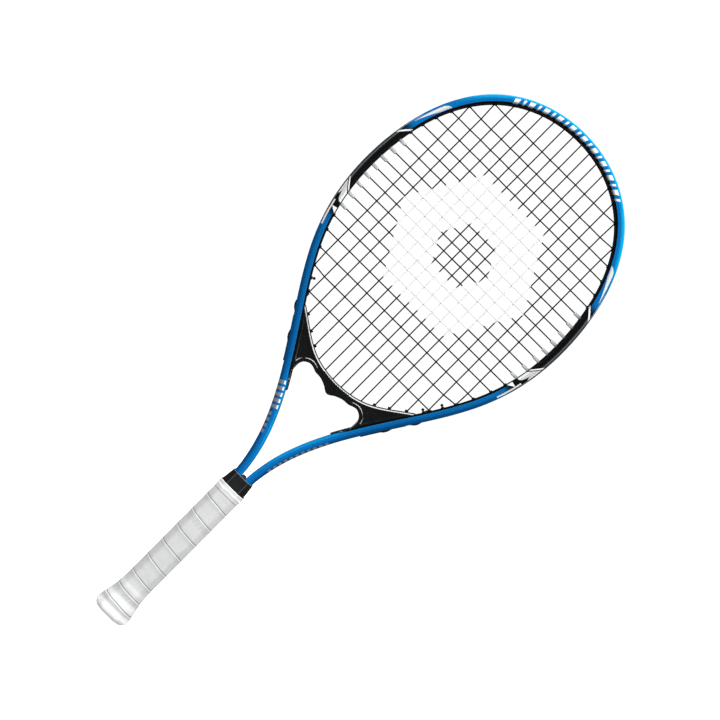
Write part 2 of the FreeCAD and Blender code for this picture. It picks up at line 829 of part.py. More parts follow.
# ---------------------------------------------------- holes through the tube
# each hole: point on the inner wall, direction outward, depth y
HOLES = []


def add_hole(s, y):
    p, t, n = at(s)
    HOLES.append((off(s, EI, y), Vector(n[0], 0, n[1]), y, s))


for i in range(16):
    add_hole(top[i], YM)
for sg in (-1, 1):
    for s in side:
        add_hole(sg * s, YC)
    add_hole(sg * low1, YM)
    add_hole(sg * S_TIE_M, YM)
add_hole(S_TIE_C, YC)
SLANT = []
for sg in (-1, 1):
    for q in (1, 2, 3, 4):
        P, D, s = lower[q]
        P2, D2 = (P, D) if sg > 0 else (mirror(P), mirror(D))
        SLANT.append((Vector(P2.x, YM, P2.z), D2, sg * s, q))

drills = []


def drill(name, base, direction, length, radius, store):
    c = doc.addObject("Part::Cylinder", name)
    c.Radius = S(radius)
    c.setExpression("Radius", "Sheet.%s" % radius)
    c.Height = length
    c.Placement = FreeCAD.Placement(base, FreeCAD.Rotation(Vector(0, 0, 1), direction))
    store.append(c)
    return c


for q, (P, D, y, s) in enumerate(HOLES):
    drill("tube_drill_%d" % q, P.sub(D * 1.5), D, S("tube_width") + 1.5 - 0.5, "tube_hole_r", drills)
for q, (P, D, s, _) in enumerate(SLANT):
    far = off(s, ER, YM)
    L = far.sub(P).Length
    near = L - 17.0
    drill("tube_slant_%d" % q, P.add(D * max(near, -4.0)), D, L - max(near, -4.0) + 1.0, "tube_hole_r", drills)
rivet_at = [(sg * S("rivet_x"), zz) for sg in (-1, 1) for zz in ("rivet_low_z", "rivet_high_z")]
for q, (x, zz) in enumerate(rivet_at):
    c = drill("tube_rivet_hole_%d" % q, Vector(x, 15, S(zz)), Vector(0, -1, 0), 30.0, "rivet_r", drills)
    c.setExpression("Radius", "Sheet.rivet_r + 0.05")
    c.setExpression("Placement.Base.z", "Sheet.%s" % zz)
all_drills = doc.addObject("Part::MultiFuse", "tube_drills")
all_drills.Shapes = drills
frame = doc.addObject("Part::Cut", "frame_tube")
frame.Base, frame.Tool = hollow, all_drills
doc.recompute()
keep(frame, "frame_tube")
print("frame_tube", frame.Shape.isValid(), len(frame.Shape.Solids), len(frame.Shape.Faces), round(frame.Shape.Volume))

# ------------------------------------------------------------ grommet strips
HB = S("strip_half")


def band(s0, s1, e0, e1, y0, y1):
    """solid band along the path between two offsets and two depths"""
    top_e, bot_e = path_edges(s0, s1, e1), path_edges(s0, s1, e0)
    a0, a1, b0, b1 = off(s0, e0), off(s0, e1), off(s1, e0), off(s1, e1)
    w = Part.Wire(Part.__sortEdges__(top_e + bot_e + [Part.LineSegment(a0, a1).toShape(),
                                                      Part.LineSegment(b0, b1).toShape()]))
    f = Part.Face(w)
    f.translate(Vector(0, y0, 0))
    return f.extrude(Vector(0, y1 - y0, 0))


def cyl(P, D, length, r):
    return Part.makeCylinder(r, length, P, D)


def strip(name, s0, s1, holes, slants=(), rails=()):
    """groove strip with one barrel through the tube for each string"""
    e0 = EF + 0.03
    body = band(s0, s1, e0, e0 + S("strip_thick"), -HB, HB)
    adds, cuts = [], []
    for P, D, y, s, proud in holes:
        adds.append(cyl(P.sub(D * proud), D, S("tube_width") - S("groove_depth") + proud + 0.3, S("barrel_out_r")))
        cuts.append(cyl(P.sub(D * (proud + 1)), D, S("tube_width") + 4, S("barrel_bore_r")))
    for P, D, s, start in slants:
        far = off(s, ER, YM)
        L = far.sub(P).Length
        adds.append(cyl(P.add(D * start), D, L - start - 0.6, S("barrel_out_r")))
        cuts.append(cyl(P.add(D * (start - 1)), D, L - start + 6, S("barrel_bore_r")))
    for a, b, e_top, ya, yb in rails:
        for sg in (-1, 1):
            lo, hi = sorted((sg * ya, sg * yb))
            adds.append(band(a, b, e0, e_top, lo, hi))
    if slants:
        # nothing of a slanted barrel stands beyond the strip's floor
        keepout = band(s0 - 8, s1 + 8, e0 + S("strip_thick"), e0 + 9, -2.1, 2.1)
    body = body.multiFuse(adds)
    if slants:
        body = body.cut(keepout)
    body = body.cut(cuts[0] if len(cuts) == 1 else cuts[0].multiFuse(cuts[1:]))
    solids = sorted(body.Solids, key=lambda v: -v.Volume)
    if len(solids) > 1:
        print(name, "pieces", [round(v.Volume, 2) for v in solids][:6])
    shape = solids[0]
    f = feature(name, shape)
    print(name, shape.isValid(), len(shape.Faces), round(shape.Volume))
    return f


def hump(sg, mid, half, low, high):
    """stepped rails that rise over a string loop and fall again, as height above the outer face"""
    out = []
    for q in range(5):
        h = half * (1.0 - q / 5.0) ** 0.6
        a, b = sorted((sg * (mid - h), sg * (mid + h)))
        out.append((a, b, S("tube_width") / 2 + low + (high - low) * (q + 1) / 5.0, 2.3, 3.3))
    return out


PROUD = S("barrel_proud")
edge_s = 0.5 * (side[1] + side[2])
crown = [h + (PROUD,) for h in HOLES if abs(h[3]) < edge_s]
strip("crown_grommet_strip", -edge_s + 0.4, edge_s - 0.4, crown)
sleeve_s = [round(side[j], 3) for j in range(6, 14)]


def proud_of(h):
    return 0.0 if h[2] == YC and round(abs(h[3]), 3) in sleeve_s else PROUD


m2 = [h for h in SLANT if h[3] == 1]
S_M2 = lower[1][2]
for sg, nm in ((-1, "left"), (1, "right")):
    hs = [h + (proud_of(h),) for h in HOLES if edge_s < sg * h[3]]
    sl = [(P, D, s, -PROUD) for P, D, s, q in SLANT if q == 1 and s * sg > 0]
    a, b = sorted((sg * (edge_s + 0.4), sg * (S_M2 + 5.0)))
    strip("side_grommet_strip_" + nm, a, b, hs, sl, hump(sg, S_M2 + 0.5, 5.4, 0.3, 1.5))
for sg, nm in ((-1, "left"), (1, "right")):
    sl = [(P, D, s, -2.4) for P, D, s, q in SLANT if q > 1 and s * sg > 0]
    s3, s5 = lower[2][2], lower[4][2]
    print("strip ends", round(S_M2, 1), round(s3, 1), round(lower[3][2], 1), round(s5, 1))
    a, b = sorted((sg * (s3 - 5.0), sg * (s5 + 3.4)))
    c, d = sorted((sg * S("strip_hump_at"), sg * (s5 + 3.4)))
    W2 = S("tube_width") / 2
    strip("shaft_grommet_strip_" + nm, a, b, [], sl,
          [(a, b, W2 + 0.5, 2.3, 3.3), (c, d, W2 + 1.1, 2.3, 3.3)] + hump(sg, S("strip_hump_at"), 6.4, 0.5, 2.0))

# -------------------------------------------------------------- shock sleeves
for sg, nm in ((-1, "left"), (1, "right")):
    parts_ = []
    for j in range(6, 14):
        P = off(sg * side[j], EI, YC)
        bed = weave_cross(j)
        Q = bed[-1] if sg > 0 else bed[0]
        d = Q.sub(P)
        d.normalize()
        base = P.add(d * 0.4)
        ring = cyl(base, d, S("sleeve_length"), S("sleeve_r")).cut(
            cyl(base.sub(d), d, S("sleeve_length") + 2, S("string_dia") / 2 + 0.12))
        parts_.append(ring.Solids[0])
    feature("shock_sleeves_" + nm, Part.makeCompound(parts_))

feature("main_string", main_solid)
feature("cross_string", cross_solid)

# ----------------------------------------------------------------- the yoke
yb = new_body("throat_yoke")
ysk = yb.newObject("Sketcher::SketchObject", "yoke_outline")
attach(yb, ysk, "XZ_Plane")
GAP = EI - S("yoke_gap")
s_horn = find(lambda q: off(q, GAP).z - S("yoke_horn_z"), SMAX, HALF_L - 5)
s_tail = find(lambda q: off(q, GAP).z - S("yoke_tail_z"), SMAX, HALF_L - 5)
wing = (S("yoke_low_p_x"), S("yoke_low_p_z"))
s_wing = find(lambda q: off(q, GAP - S("yoke_tail_thick")).z - wing[1] + 3.0, SMAX, HALF_L - 5)
# right half outline as points: lines and arcs, then mirrored
right = []       # list of ("line"|"arc", p, m, q)
for g in yoke_top:
    right.append(("arc" if g.R else "line", g.p, g.at(g.L / 2)[0], g.q))
horn = (off(s_horn, GAP).x, off(s_horn, GAP).z)
right.append(("line", right[-1][3], None, horn))
for e in path_edges(s_horn, s_tail, GAP):
    a, b = e.Vertexes[0].Point, e.Vertexes[-1].Point
    m = e.valueAt((e.FirstParameter + e.LastParameter) / 2)
    last = right[-1][3]
    if math.hypot(a.x - last[0], a.z - last[1]) > 1e-4:
        a, b = b, a
    right.append(("line" if isinstance(e.Curve, Part.Line) else "arc", (a.x, a.z), (m.x, m.z), (b.x, b.z)))
tail_in = off(s_tail, GAP - S("yoke_tail_thick"))
right.append(("line", right[-1][3], None, (tail_in.x, tail_in.z)))
wing_in = off(s_wing, GAP - S("yoke_tail_thick"))
for e in reversed(path_edges(s_wing, s_tail, GAP - S("yoke_tail_thick"))):
    a, b = e.Vertexes[0].Point, e.Vertexes[-1].Point
    m = e.valueAt((e.FirstParameter + e.LastParameter) / 2)
    last = right[-1][3]
    if math.hypot(a.x - last[0], a.z - last[1]) > 1e-4:
        a, b = b, a
    right.append(("line" if isinstance(e.Curve, Part.Line) else "arc", (a.x, a.z), (m.x, m.z), (b.x, b.z)))
right.append(("line", right[-1][3], None, wing))
for g in reversed(yoke_low):
    right.append(("arc" if g.R else "line", g.q, g.at(g.L / 2)[0], g.p))


def flip(p):
    return None if p is None else (-p[0], p[1])


outline = right + [(k, flip(q), flip(m), flip(p)) for k, p, m, q in reversed(right)]
for k, p, m, q in outline:
    a, b = Vector(p[0], p[1], 0), Vector(q[0], q[1], 0)
    if k == "line":
        ysk.addGeometry(Part.LineSegment(a, b), False)
    else:
        ysk.addGeometry(Part.Arc(a, Vector(m[0], m[1], 0), b), False)
n_geo = ysk.GeometryCount
for q in range(n_geo):
    ysk.addConstraint(Sketcher.Constraint("Block", q))
doc.recompute()
print("yoke sketch", n_geo, len(ysk.Shape.Wires), ysk.Shape.isClosed() if hasattr(ysk.Shape, "isClosed") else "")
pad(yb, "yoke_block", ysk, "yoke_depth", mid=True)
print("yoke pad", yb.Shape.isValid(), round(yb.Shape.Volume), yb.Shape.BoundBox)
# vertical holes for the six middle mains
hsk = yb.newObject("Sketcher::SketchObject", "yoke_holes")
attach(yb, hsk, "XY_Plane")
for al in ("main_f_x", "main_g_x", "main_h_x"):
    for sg in ("", "-"):
        circle(hsk, sg + al, "-string_side", "yoke_hole_r")
pocket(yb, "yoke_hole_cut", hsk, rev=True)
# string slots under the yoke, between neighbouring mains
zl = {q: chain_z(yoke_low, MX[q]) for q in (5, 6, 7)}
ssk = yb.newObject("Sketcher::SketchObject", "yoke_slots")
attach(yb, ssk, "XZ_Plane", "string_side")
for sg in (1, -1):
    a, b = MX[5] + 0.9, MX[6] - 0.9
    za, zb_ = zl[5] + 1.9, zl[6] + 1.9
    pts = [(sg * a, za), (sg * b, zb_), (sg * b, zb_ - 8), (sg * a, za - 8)]
    base = ssk.GeometryCount
    for q in range(4):
        ssk.addGeometry(Part.LineSegment(Vector(*pts[q], 0), Vector(*pts[(q + 1) % 4], 0)), False)
a = MX[7] + 0.9
zz = zl[7]
pts = [(-a, zz + 0.15), (a, zz + 0.15), (a, zz + 1.9), (-a, zz + 1.9)]
for q in range(4):
    ssk.addGeometry(Part.LineSegment(Vector(*pts[q], 0), Vector(*pts[(q + 1) % 4], 0)), False)
for q in range(ssk.GeometryCount):
    ssk.addConstraint(Sketcher.Constraint("Block", q))
pocket(yb, "yoke_slot_cut", ssk, "slot_width", mid=True)
print("yoke cut", yb.Shape.isValid(), round(yb.Shape.Volume))
ydr = []
for q, (P, D, s, kind) in enumerate(SLANT):
    if kind > 1:
        far = off(s, ER, YM)
        drill("yoke_slant_%d" % q, P.sub(D * 4), D, far.sub(P).Length + 4, "yoke_hole_r", ydr)
yfuse = doc.addObject("Part::MultiFuse", "yoke_drills")
yfuse.Shapes = ydr
yoke = doc.addObject("Part::Cut", "throat_yoke")
yoke.Base, yoke.Tool = yb, yfuse
doc.recompute()
keep(yoke, "throat_yoke")
print("throat_yoke", yoke.Shape.isValid(), len(yoke.Shape.Solids), round(yoke.Shape.Volume))

# bushes for the six middle mains
bushes = []
for q in (5, 6, 7):
    for sg in (-1, 1):
        z0, z1 = chain_z(yoke_low, MX[q]) + 2.1, min(chain_z(yoke_top, MX[q] + d) for d in (-1.9, 1.9)) + 0.1
        P = Vector(sg * MX[q], YM, z0)
        U = Vector(0, 0, 1)
        bushes.append(cyl(P, U, z1 - z0, S("barrel_out_r")).cut(cyl(P.sub(U), U, z1 - z0 + 2, S("barrel_bore_r"))).Solids[0])
feature("yoke_grommets", Part.makeCompound(bushes))

# ------------------------------------------------------------------ handle
def half_octagon(w, d, c, sg):
    """one half of an octagon, sg -1 for the front (-Y)"""
    a, b = "%s/2" % w, "%s/2" % d
    pts = [("%s-%s" % (a, c), "-" + b), (a, "-%s+%s" % (b, c)), (a, "-split"),
           ("-" + a, "-split"), ("-" + a, "-%s+%s" % (b, c)), ("-%s+%s" % (a, c), "-" + b)]
    if sg > 0:
        pts = [(p, negate(q)) for p, q in pts]
    return pts


# staples: crown in a recess of the cap, legs through cap and pallet
staple_parts, staple_holes, crown_boxes = [], [], []
SX = 14.0
for sg in (-1, 1):
    b = doc.addObject("Part::Box", "staple_crown_%s" % ("l" if sg < 0 else "r"))
    b.Length, b.Width, b.Height = 0.8, 2 * S("staple_half") + 0.8, 0.8
    b.setExpression("Length", "Sheet.staple_wire")
    b.setExpression("Width", "2 * Sheet.staple_half + Sheet.staple_wire")
    b.setExpression("Height", "Sheet.staple_wire")
    x0 = SX if sg > 0 else -SX - S("staple_wire")
    b.Placement = FreeCAD.Placement(Vector(x0, -S("staple_half") - 0.4, S("staple_z") - 0.4), FreeCAD.Rotation())
    group = [b]
    for sy in (-1, 1):
        P = Vector(sg * (SX + 0.4), sy * S("staple_half"), S("staple_z"))
        c = doc.addObject("Part::Cylinder", "staple_leg")
        c.Radius = 0.4
        c.setExpression("Radius", "Sheet.staple_wire / 2")
        c.Height = S("staple_leg") + 0.4
        c.setExpression("Height", "Sheet.staple_leg + Sheet.staple_wire / 2")
        c.Placement = FreeCAD.Placement(P, FreeCAD.Rotation(Vector(0, 0, 1), Vector(-sg, 0, 0)))
        group.append(c)
        drill("staple_hole", P, Vector(-sg, 0, 0), S("staple_leg") + 0.7, "staple_wire", staple_holes)
        staple_holes[-1].setExpression("Radius", "Sheet.staple_wire / 2 + 0.04")
    f = doc.addObject("Part::MultiFuse", "staple_%s" % ("l" if sg < 0 else "r"))
    f.Shapes = group
    staple_parts.append(f)
    k = doc.addObject("Part::Box", "staple_recess")
    k.Length, k.Width, k.Height = 2.5, 2 * S("staple_half") + 1.0, 1.0
    k.Placement = FreeCAD.Placement(Vector(SX - 0.05 if sg > 0 else -SX + 0.05 - 2.5, -S("staple_half") - 0.5,
                                           S("staple_z") - 0.5), FreeCAD.Rotation())
    crown_boxes.append(k)
staples = doc.addObject("Part::MultiFuse", "butt_cap_staples")
staples.Shapes = staple_parts
keep(staples, "butt_cap_staples")

for sg, nm in ((-1, "front"), (1, "back")):
    body = new_body("pallet_" + nm)
    last = None
    for lvl, (w, d, c, z0, length) in enumerate((
            ("pallet_end_w", "pallet_end_d", "pallet_end_c", "pallet_low_z", "cap_top_z-pallet_low_z"),
            ("pallet_w", "pallet_d", "pallet_c", "cap_top_z", "grip_top_z-cap_top_z"),
            ("neck_w", "neck_d", "neck_c", "grip_top_z", "neck_top_z-grip_top_z"))):
        sk = body.newObject("Sketcher::SketchObject", "pallet_%s_level%d" % (nm, lvl))
        attach(body, sk, "XY_Plane", z0)
        poly(sk, half_octagon(w, d, c, sg))
        pad(body, "pallet_%s_pad%d" % (nm, lvl), sk, length)
    sk = body.newObject("Sketcher::SketchObject", "pallet_%s_web" % nm)
    attach(body, sk, "XY_Plane", "grip_top_z")
    web = [("web_half", "-tube_depth/2"), ("web_half", "-split"), ("-web_half", "-split"), ("-web_half", "-tube_depth/2")]
    poly(sk, web if sg < 0 else [(a, negate(b)) for a, b in web])
    pad(body, "pallet_%s_webpad" % nm, sk, "web_top_z-grip_top_z")
    for sx in (1, -1):
        sk = body.newObject("Sketcher::SketchObject", "pallet_%s_channel%d" % (nm, sx))
        attach(body, sk, "XY_Plane", "leg_end_z")
        xo = "leg_offset+tube_width/2"
        pts = [("leg_offset-tube_width/2-0.1", "0.5"), ("leg_offset-tube_width/2-0.1", "-tube_depth/2-0.1"),
               (xo + "-crown_in+0.05", "-tube_depth/2-0.1"), (xo + "-flank_in+0.12", "-flank_half-0.12"),
               (xo + "+0.1", "-outer_face_half-0.1"), (xo + "+0.1", "0.5")]
        if sg > 0:
            pts = [(a, negate(b)) for a, b in pts]
        if sx < 0:
            pts = [(negate(a), b) for a, b in pts]
        poly(sk, pts)
        pocket(body, "pallet_%s_channelcut%d" % (nm, sx), sk, rev=True)
    sk = body.newObject("Sketcher::SketchObject", "pallet_%s_rivets" % nm)
    attach(body, sk, "XZ_Plane")
    for x in ("rivet_x", "-rivet_x"):
        for z in ("rivet_low_z", "rivet_high_z"):
            circle(sk, x, z, "rivet_clear_r")
    pocket(body, "pallet_%s_rivetcut" % nm, sk, "rivet_span", mid=True)
    sk = body.newObject("Sketcher::SketchObject", "pallet_%s_seats" % nm)
    attach(body, sk, "XZ_Plane", "seat_off_%s" % nm)
    for x in ("rivet_x", "-rivet_x"):
        for z in ("rivet_low_z", "rivet_high_z"):
            circle(sk, x, z, "rivet_seat_r")
    pocket(body, "pallet_%s_seatcut" % nm, sk, "seat_depth", rev=(sg > 0))
    hf = doc.addObject("Part::Cut", "pallet_" + nm)
    mf = doc.addObject("Part::MultiFuse", "pallet_%s_pins" % nm)
    tools = []
    for h in staple_holes:
        if h.Placement.Base.y * sg > 0:
            t = doc.addObject("Part::Cylinder", "pallet_%s_pin" % nm)
            t.Radius, t.Height, t.Placement = 0.44, S("staple_leg") + 0.7, h.Placement
            t.setExpression("Radius", "Sheet.staple_wire / 2 + 0.04")
            tools.append(t)
    mf.Shapes = tools
    hf.Base, hf.Tool = body, mf
    doc.recompute()
    keep(hf, "pallet_" + nm)
    print("pallet", nm, hf.Shape.isValid(), len(hf.Shape.Solids), round(hf.Shape.Volume), hf.Shape.BoundBox)

# rivets: shank and two flat heads each
rivs = []
for q, (x, zz) in enumerate(rivet_at):
    y1 = S("pallet_d") / 2 - 0.1
    grp = []
    for nm, r, y0, h in (("shank", "rivet_r", -y1, 2 * y1), ("head_a", "rivet_head_r", -y1, S("rivet_head_h")),
                         ("head_b", "rivet_head_r", y1 - S("rivet_head_h"), S("rivet_head_h"))):
        c = doc.addObject("Part::Cylinder", "rivet_%d_%s" % (q, nm))
        c.Radius = S(r)
        c.setExpression("Radius", "Sheet." + r)
        c.Height = h
        c.Placement = FreeCAD.Placement(Vector(x, y0, S(zz)), FreeCAD.Rotation(Vector(0, 0, 1), Vector(0, 1, 0)))
        grp.append(c)
    f = doc.addObject("Part::MultiFuse", "rivet_%d" % q)
    f.Shapes = grp
    rivs.append(f)
rivets = doc.addObject("Part::MultiFuse", "pallet_rivets")
rivets.Shapes = rivs
doc.recompute()
keep(rivets, "pallet_rivets")

# butt cap
cap = new_body("butt_cap")
low = [oct_sketch(cap, "rim_" + c, "rim_%s_w" % c, "rim_%s_d" % c, "rim_%s_c" % c, "rim_%s_z" % c) for c in "abcde"]
loft(cap, "cap_rim", low)
upper = [oct_sketch(cap, "sleeve_" + c, "sleeve_%s_w" % c, "sleeve_%s_d" % c, "sleeve_%s_c" % c, "sleeve_%s_z" % c)
         for c in "abcdefg"]
loft(cap, "cap_sleeve", upper)
csk = oct_sketch(cap, "cap_cavity", "cavity_w", "cavity_d", "cavity_c", "cavity_z")
pocket(cap, "cap_cavity_cut", csk, rev=True)
bsk = cap.newObject("Sketcher::SketchObject", "badge_seat")
attach(cap, bsk, "XY_Plane")
circle(bsk, "0", "0", "badge_seat_r")
pocket(cap, "badge_seat_cut", bsk, "badge_seat", rev=True)
tackhole = []
drill("tack_hole", Vector(19.6, 0, S("tack_z")), Vector(-1, 0, 0), 19.6 - 14.2, "tack_r", tackhole)
tackhole[0].setExpression("Radius", "Sheet.tack_r + 0.04")
ct = doc.addObject("Part::MultiFuse", "cap_tools")
ct.Shapes = staple_holes + crown_boxes + tackhole
capcut = doc.addObject("Part::Cut", "butt_cap")
capcut.Base, capcut.Tool = cap, ct
doc.recompute()
keep(capcut, "butt_cap")
print("butt_cap", capcut.Shape.isValid(), len(capcut.Shape.Solids), round(capcut.Shape.Volume), capcut.Shape.BoundBox)

badge = new_body("butt_badge")
sk = badge.newObject("Sketcher::SketchObject", "badge_disc")
attach(badge, sk, "XY_Plane", "badge_recess")
circle(sk, "0", "0", "badge_r")
pad(badge, "badge_pad", sk, "badge_thick")
keep(badge, "butt_badge")

# tack: shank and flat head
t1 = doc.addObject("Part::Cylinder", "tack_shank")
t1.Radius, t1.Height = S("tack_r"), 5.0
t1.setExpression("Radius", "Sheet.tack_r")
t1.Placement = FreeCAD.Placement(Vector(19.3, 0, S("tack_z")), FreeCAD.Rotation(Vector(0, 0, 1), Vector(-1, 0, 0)))
t2 = doc.addObject("Part::Cylinder", "tack_head")
t2.Radius, t2.Height = S("tack_head_r"), 0.5
t2.setExpression("Radius", "Sheet.tack_head_r")
t2.Placement = FreeCAD.Placement(Vector(19.15, 0, S("tack_z")), FreeCAD.Rotation(Vector(0, 0, 1), Vector(1, 0, 0)))
tack = doc.addObject("Part::Fuse", "grip_tack")
tack.Base, tack.Tool = t1, t2
keep(tack, "grip_tack")

# grip: wound sleeve, shown as one octagonal skin with the flare at the butt
grip = new_body("grip_wrap")
o = [oct_sketch(grip, "grip_out_" + c, "grip_%s_w" % c, "grip_%s_d" % c, "grip_%s_c" % c, "grip_%s_z" % c) for c, *_ in FLARE]
loft(grip, "grip_outer", o)
n = [oct_sketch(grip, "grip_in_" + c, "core_%s_w" % c, "core_%s_d" % c, "core_%s_c" % c, "grip_%s_z" % c) for c, *_ in FLARE]
loft(grip, "grip_inner", n, cut=True)
seat = doc.addObject("Part::Cylinder", "tack_seat")
seat.Radius, seat.Height = S("tack_head_r") + 0.1, 1.75
seat.setExpression("Radius", "Sheet.tack_head_r + 0.1")
seat.Placement = FreeCAD.Placement(Vector(18.0, 0, S("tack_z")), FreeCAD.Rotation(Vector(0, 0, 1), Vector(1, 0, 0)))
gcut = doc.addObject("Part::Cut", "grip_wrap")
gcut.Base, gcut.Tool = grip, seat
doc.recompute()
keep(gcut, "grip_wrap")
print("grip_wrap", gcut.Shape.isValid(), len(gcut.Shape.Solids), round(gcut.Shape.Volume), gcut.Shape.BoundBox)

tape = new_body("finishing_tape")
sk = oct_sketch(tape, "tape_outer", "tape_w", "tape_d", "tape_c", "tape_low_z")
pad(tape, "tape_pad", sk, "tape_top_z-tape_low_z")
sk = oct_sketch(tape, "tape_inner", "tape_in_w", "tape_in_d", "tape_in_c", "tape_low_z")
pocket(tape, "tape_bore", sk, rev=True)
keep(tape, "finishing_tape")

collar = new_body("rubber_collar")
a = oct_sketch(collar, "collar_low", "collar_low_w", "collar_low_d", "collar_low_c", "collar_low_z")
b = oct_sketch(collar, "collar_top", "collar_top_w", "collar_top_d", "collar_top_c", "collar_top_z")
loft(collar, "collar_outer", [a, b])
a = oct_sketch(collar, "collar_in_low", "collar_in_low_w", "collar_in_low_d", "collar_in_low_c", "collar_low_z")
b = oct_sketch(collar, "collar_in_top", "collar_in_top_w", "collar_in_top_d", "collar_in_top_c", "collar_top_z")
loft(collar, "collar_bore", [a, b], cut=True)
keep(collar, "rubber_collar")
doc.recompute()

# --------------------------------------------------------------- write parts
bad = []
for ob in doc.Objects:
    st = list(getattr(ob, "State", []))
    if "Invalid" in st or "Error" in st:
        bad.append((ob.Name, st))
for nm, ob in OUT:
    sh = ob.Shape
    if sh.isNull() or not sh.isValid() or not sh.Solids:
        bad.append((nm, "shape"))
if bad:
    raise RuntimeError("failed objects: %s" % bad)
os.makedirs("parts", exist_ok=True)
for nm, ob in OUT:
    sh = ob.Shape
    sh.exportStep("parts/%s.step" % nm)
    bb = sh.BoundBox
    print("%-28s solids %d faces %4d vol %8.0f  x %.1f..%.1f y %.1f..%.1f z %.1f..%.1f" % (
        nm, len(sh.Solids), len(sh.Faces), sh.Volume, bb.XMin, bb.XMax, bb.YMin, bb.YMax, bb.ZMin, bb.ZMax))
print("nodes", len(OUT))
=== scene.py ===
import math

import bmesh
import bpy
import numpy as np
from mathutils import Matrix, Vector
from mathutils.geometry import delaunay_2d_cdt


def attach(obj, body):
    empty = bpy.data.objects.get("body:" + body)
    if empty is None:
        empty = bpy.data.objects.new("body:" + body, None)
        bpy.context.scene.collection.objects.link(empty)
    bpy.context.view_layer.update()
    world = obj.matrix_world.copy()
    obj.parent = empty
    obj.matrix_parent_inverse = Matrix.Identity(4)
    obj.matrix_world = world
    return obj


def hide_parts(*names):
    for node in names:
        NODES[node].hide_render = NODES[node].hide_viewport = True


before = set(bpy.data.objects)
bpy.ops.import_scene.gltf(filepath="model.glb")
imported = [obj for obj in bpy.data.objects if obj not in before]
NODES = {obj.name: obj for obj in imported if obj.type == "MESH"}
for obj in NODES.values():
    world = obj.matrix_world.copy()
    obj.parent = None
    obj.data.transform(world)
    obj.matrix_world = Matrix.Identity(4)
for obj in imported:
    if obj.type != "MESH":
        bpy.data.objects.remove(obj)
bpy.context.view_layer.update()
MM = 0.001


# =====================================================================
# colours and node helpers
# =====================================================================
def lin(c):
    c = c / 255.0
    return c / 12.92 if c <= 0.04045 else ((c + 0.055) / 1.055) ** 2.4


def rgb(r, g, b):
    return (lin(r), lin(g), lin(b), 1.0)


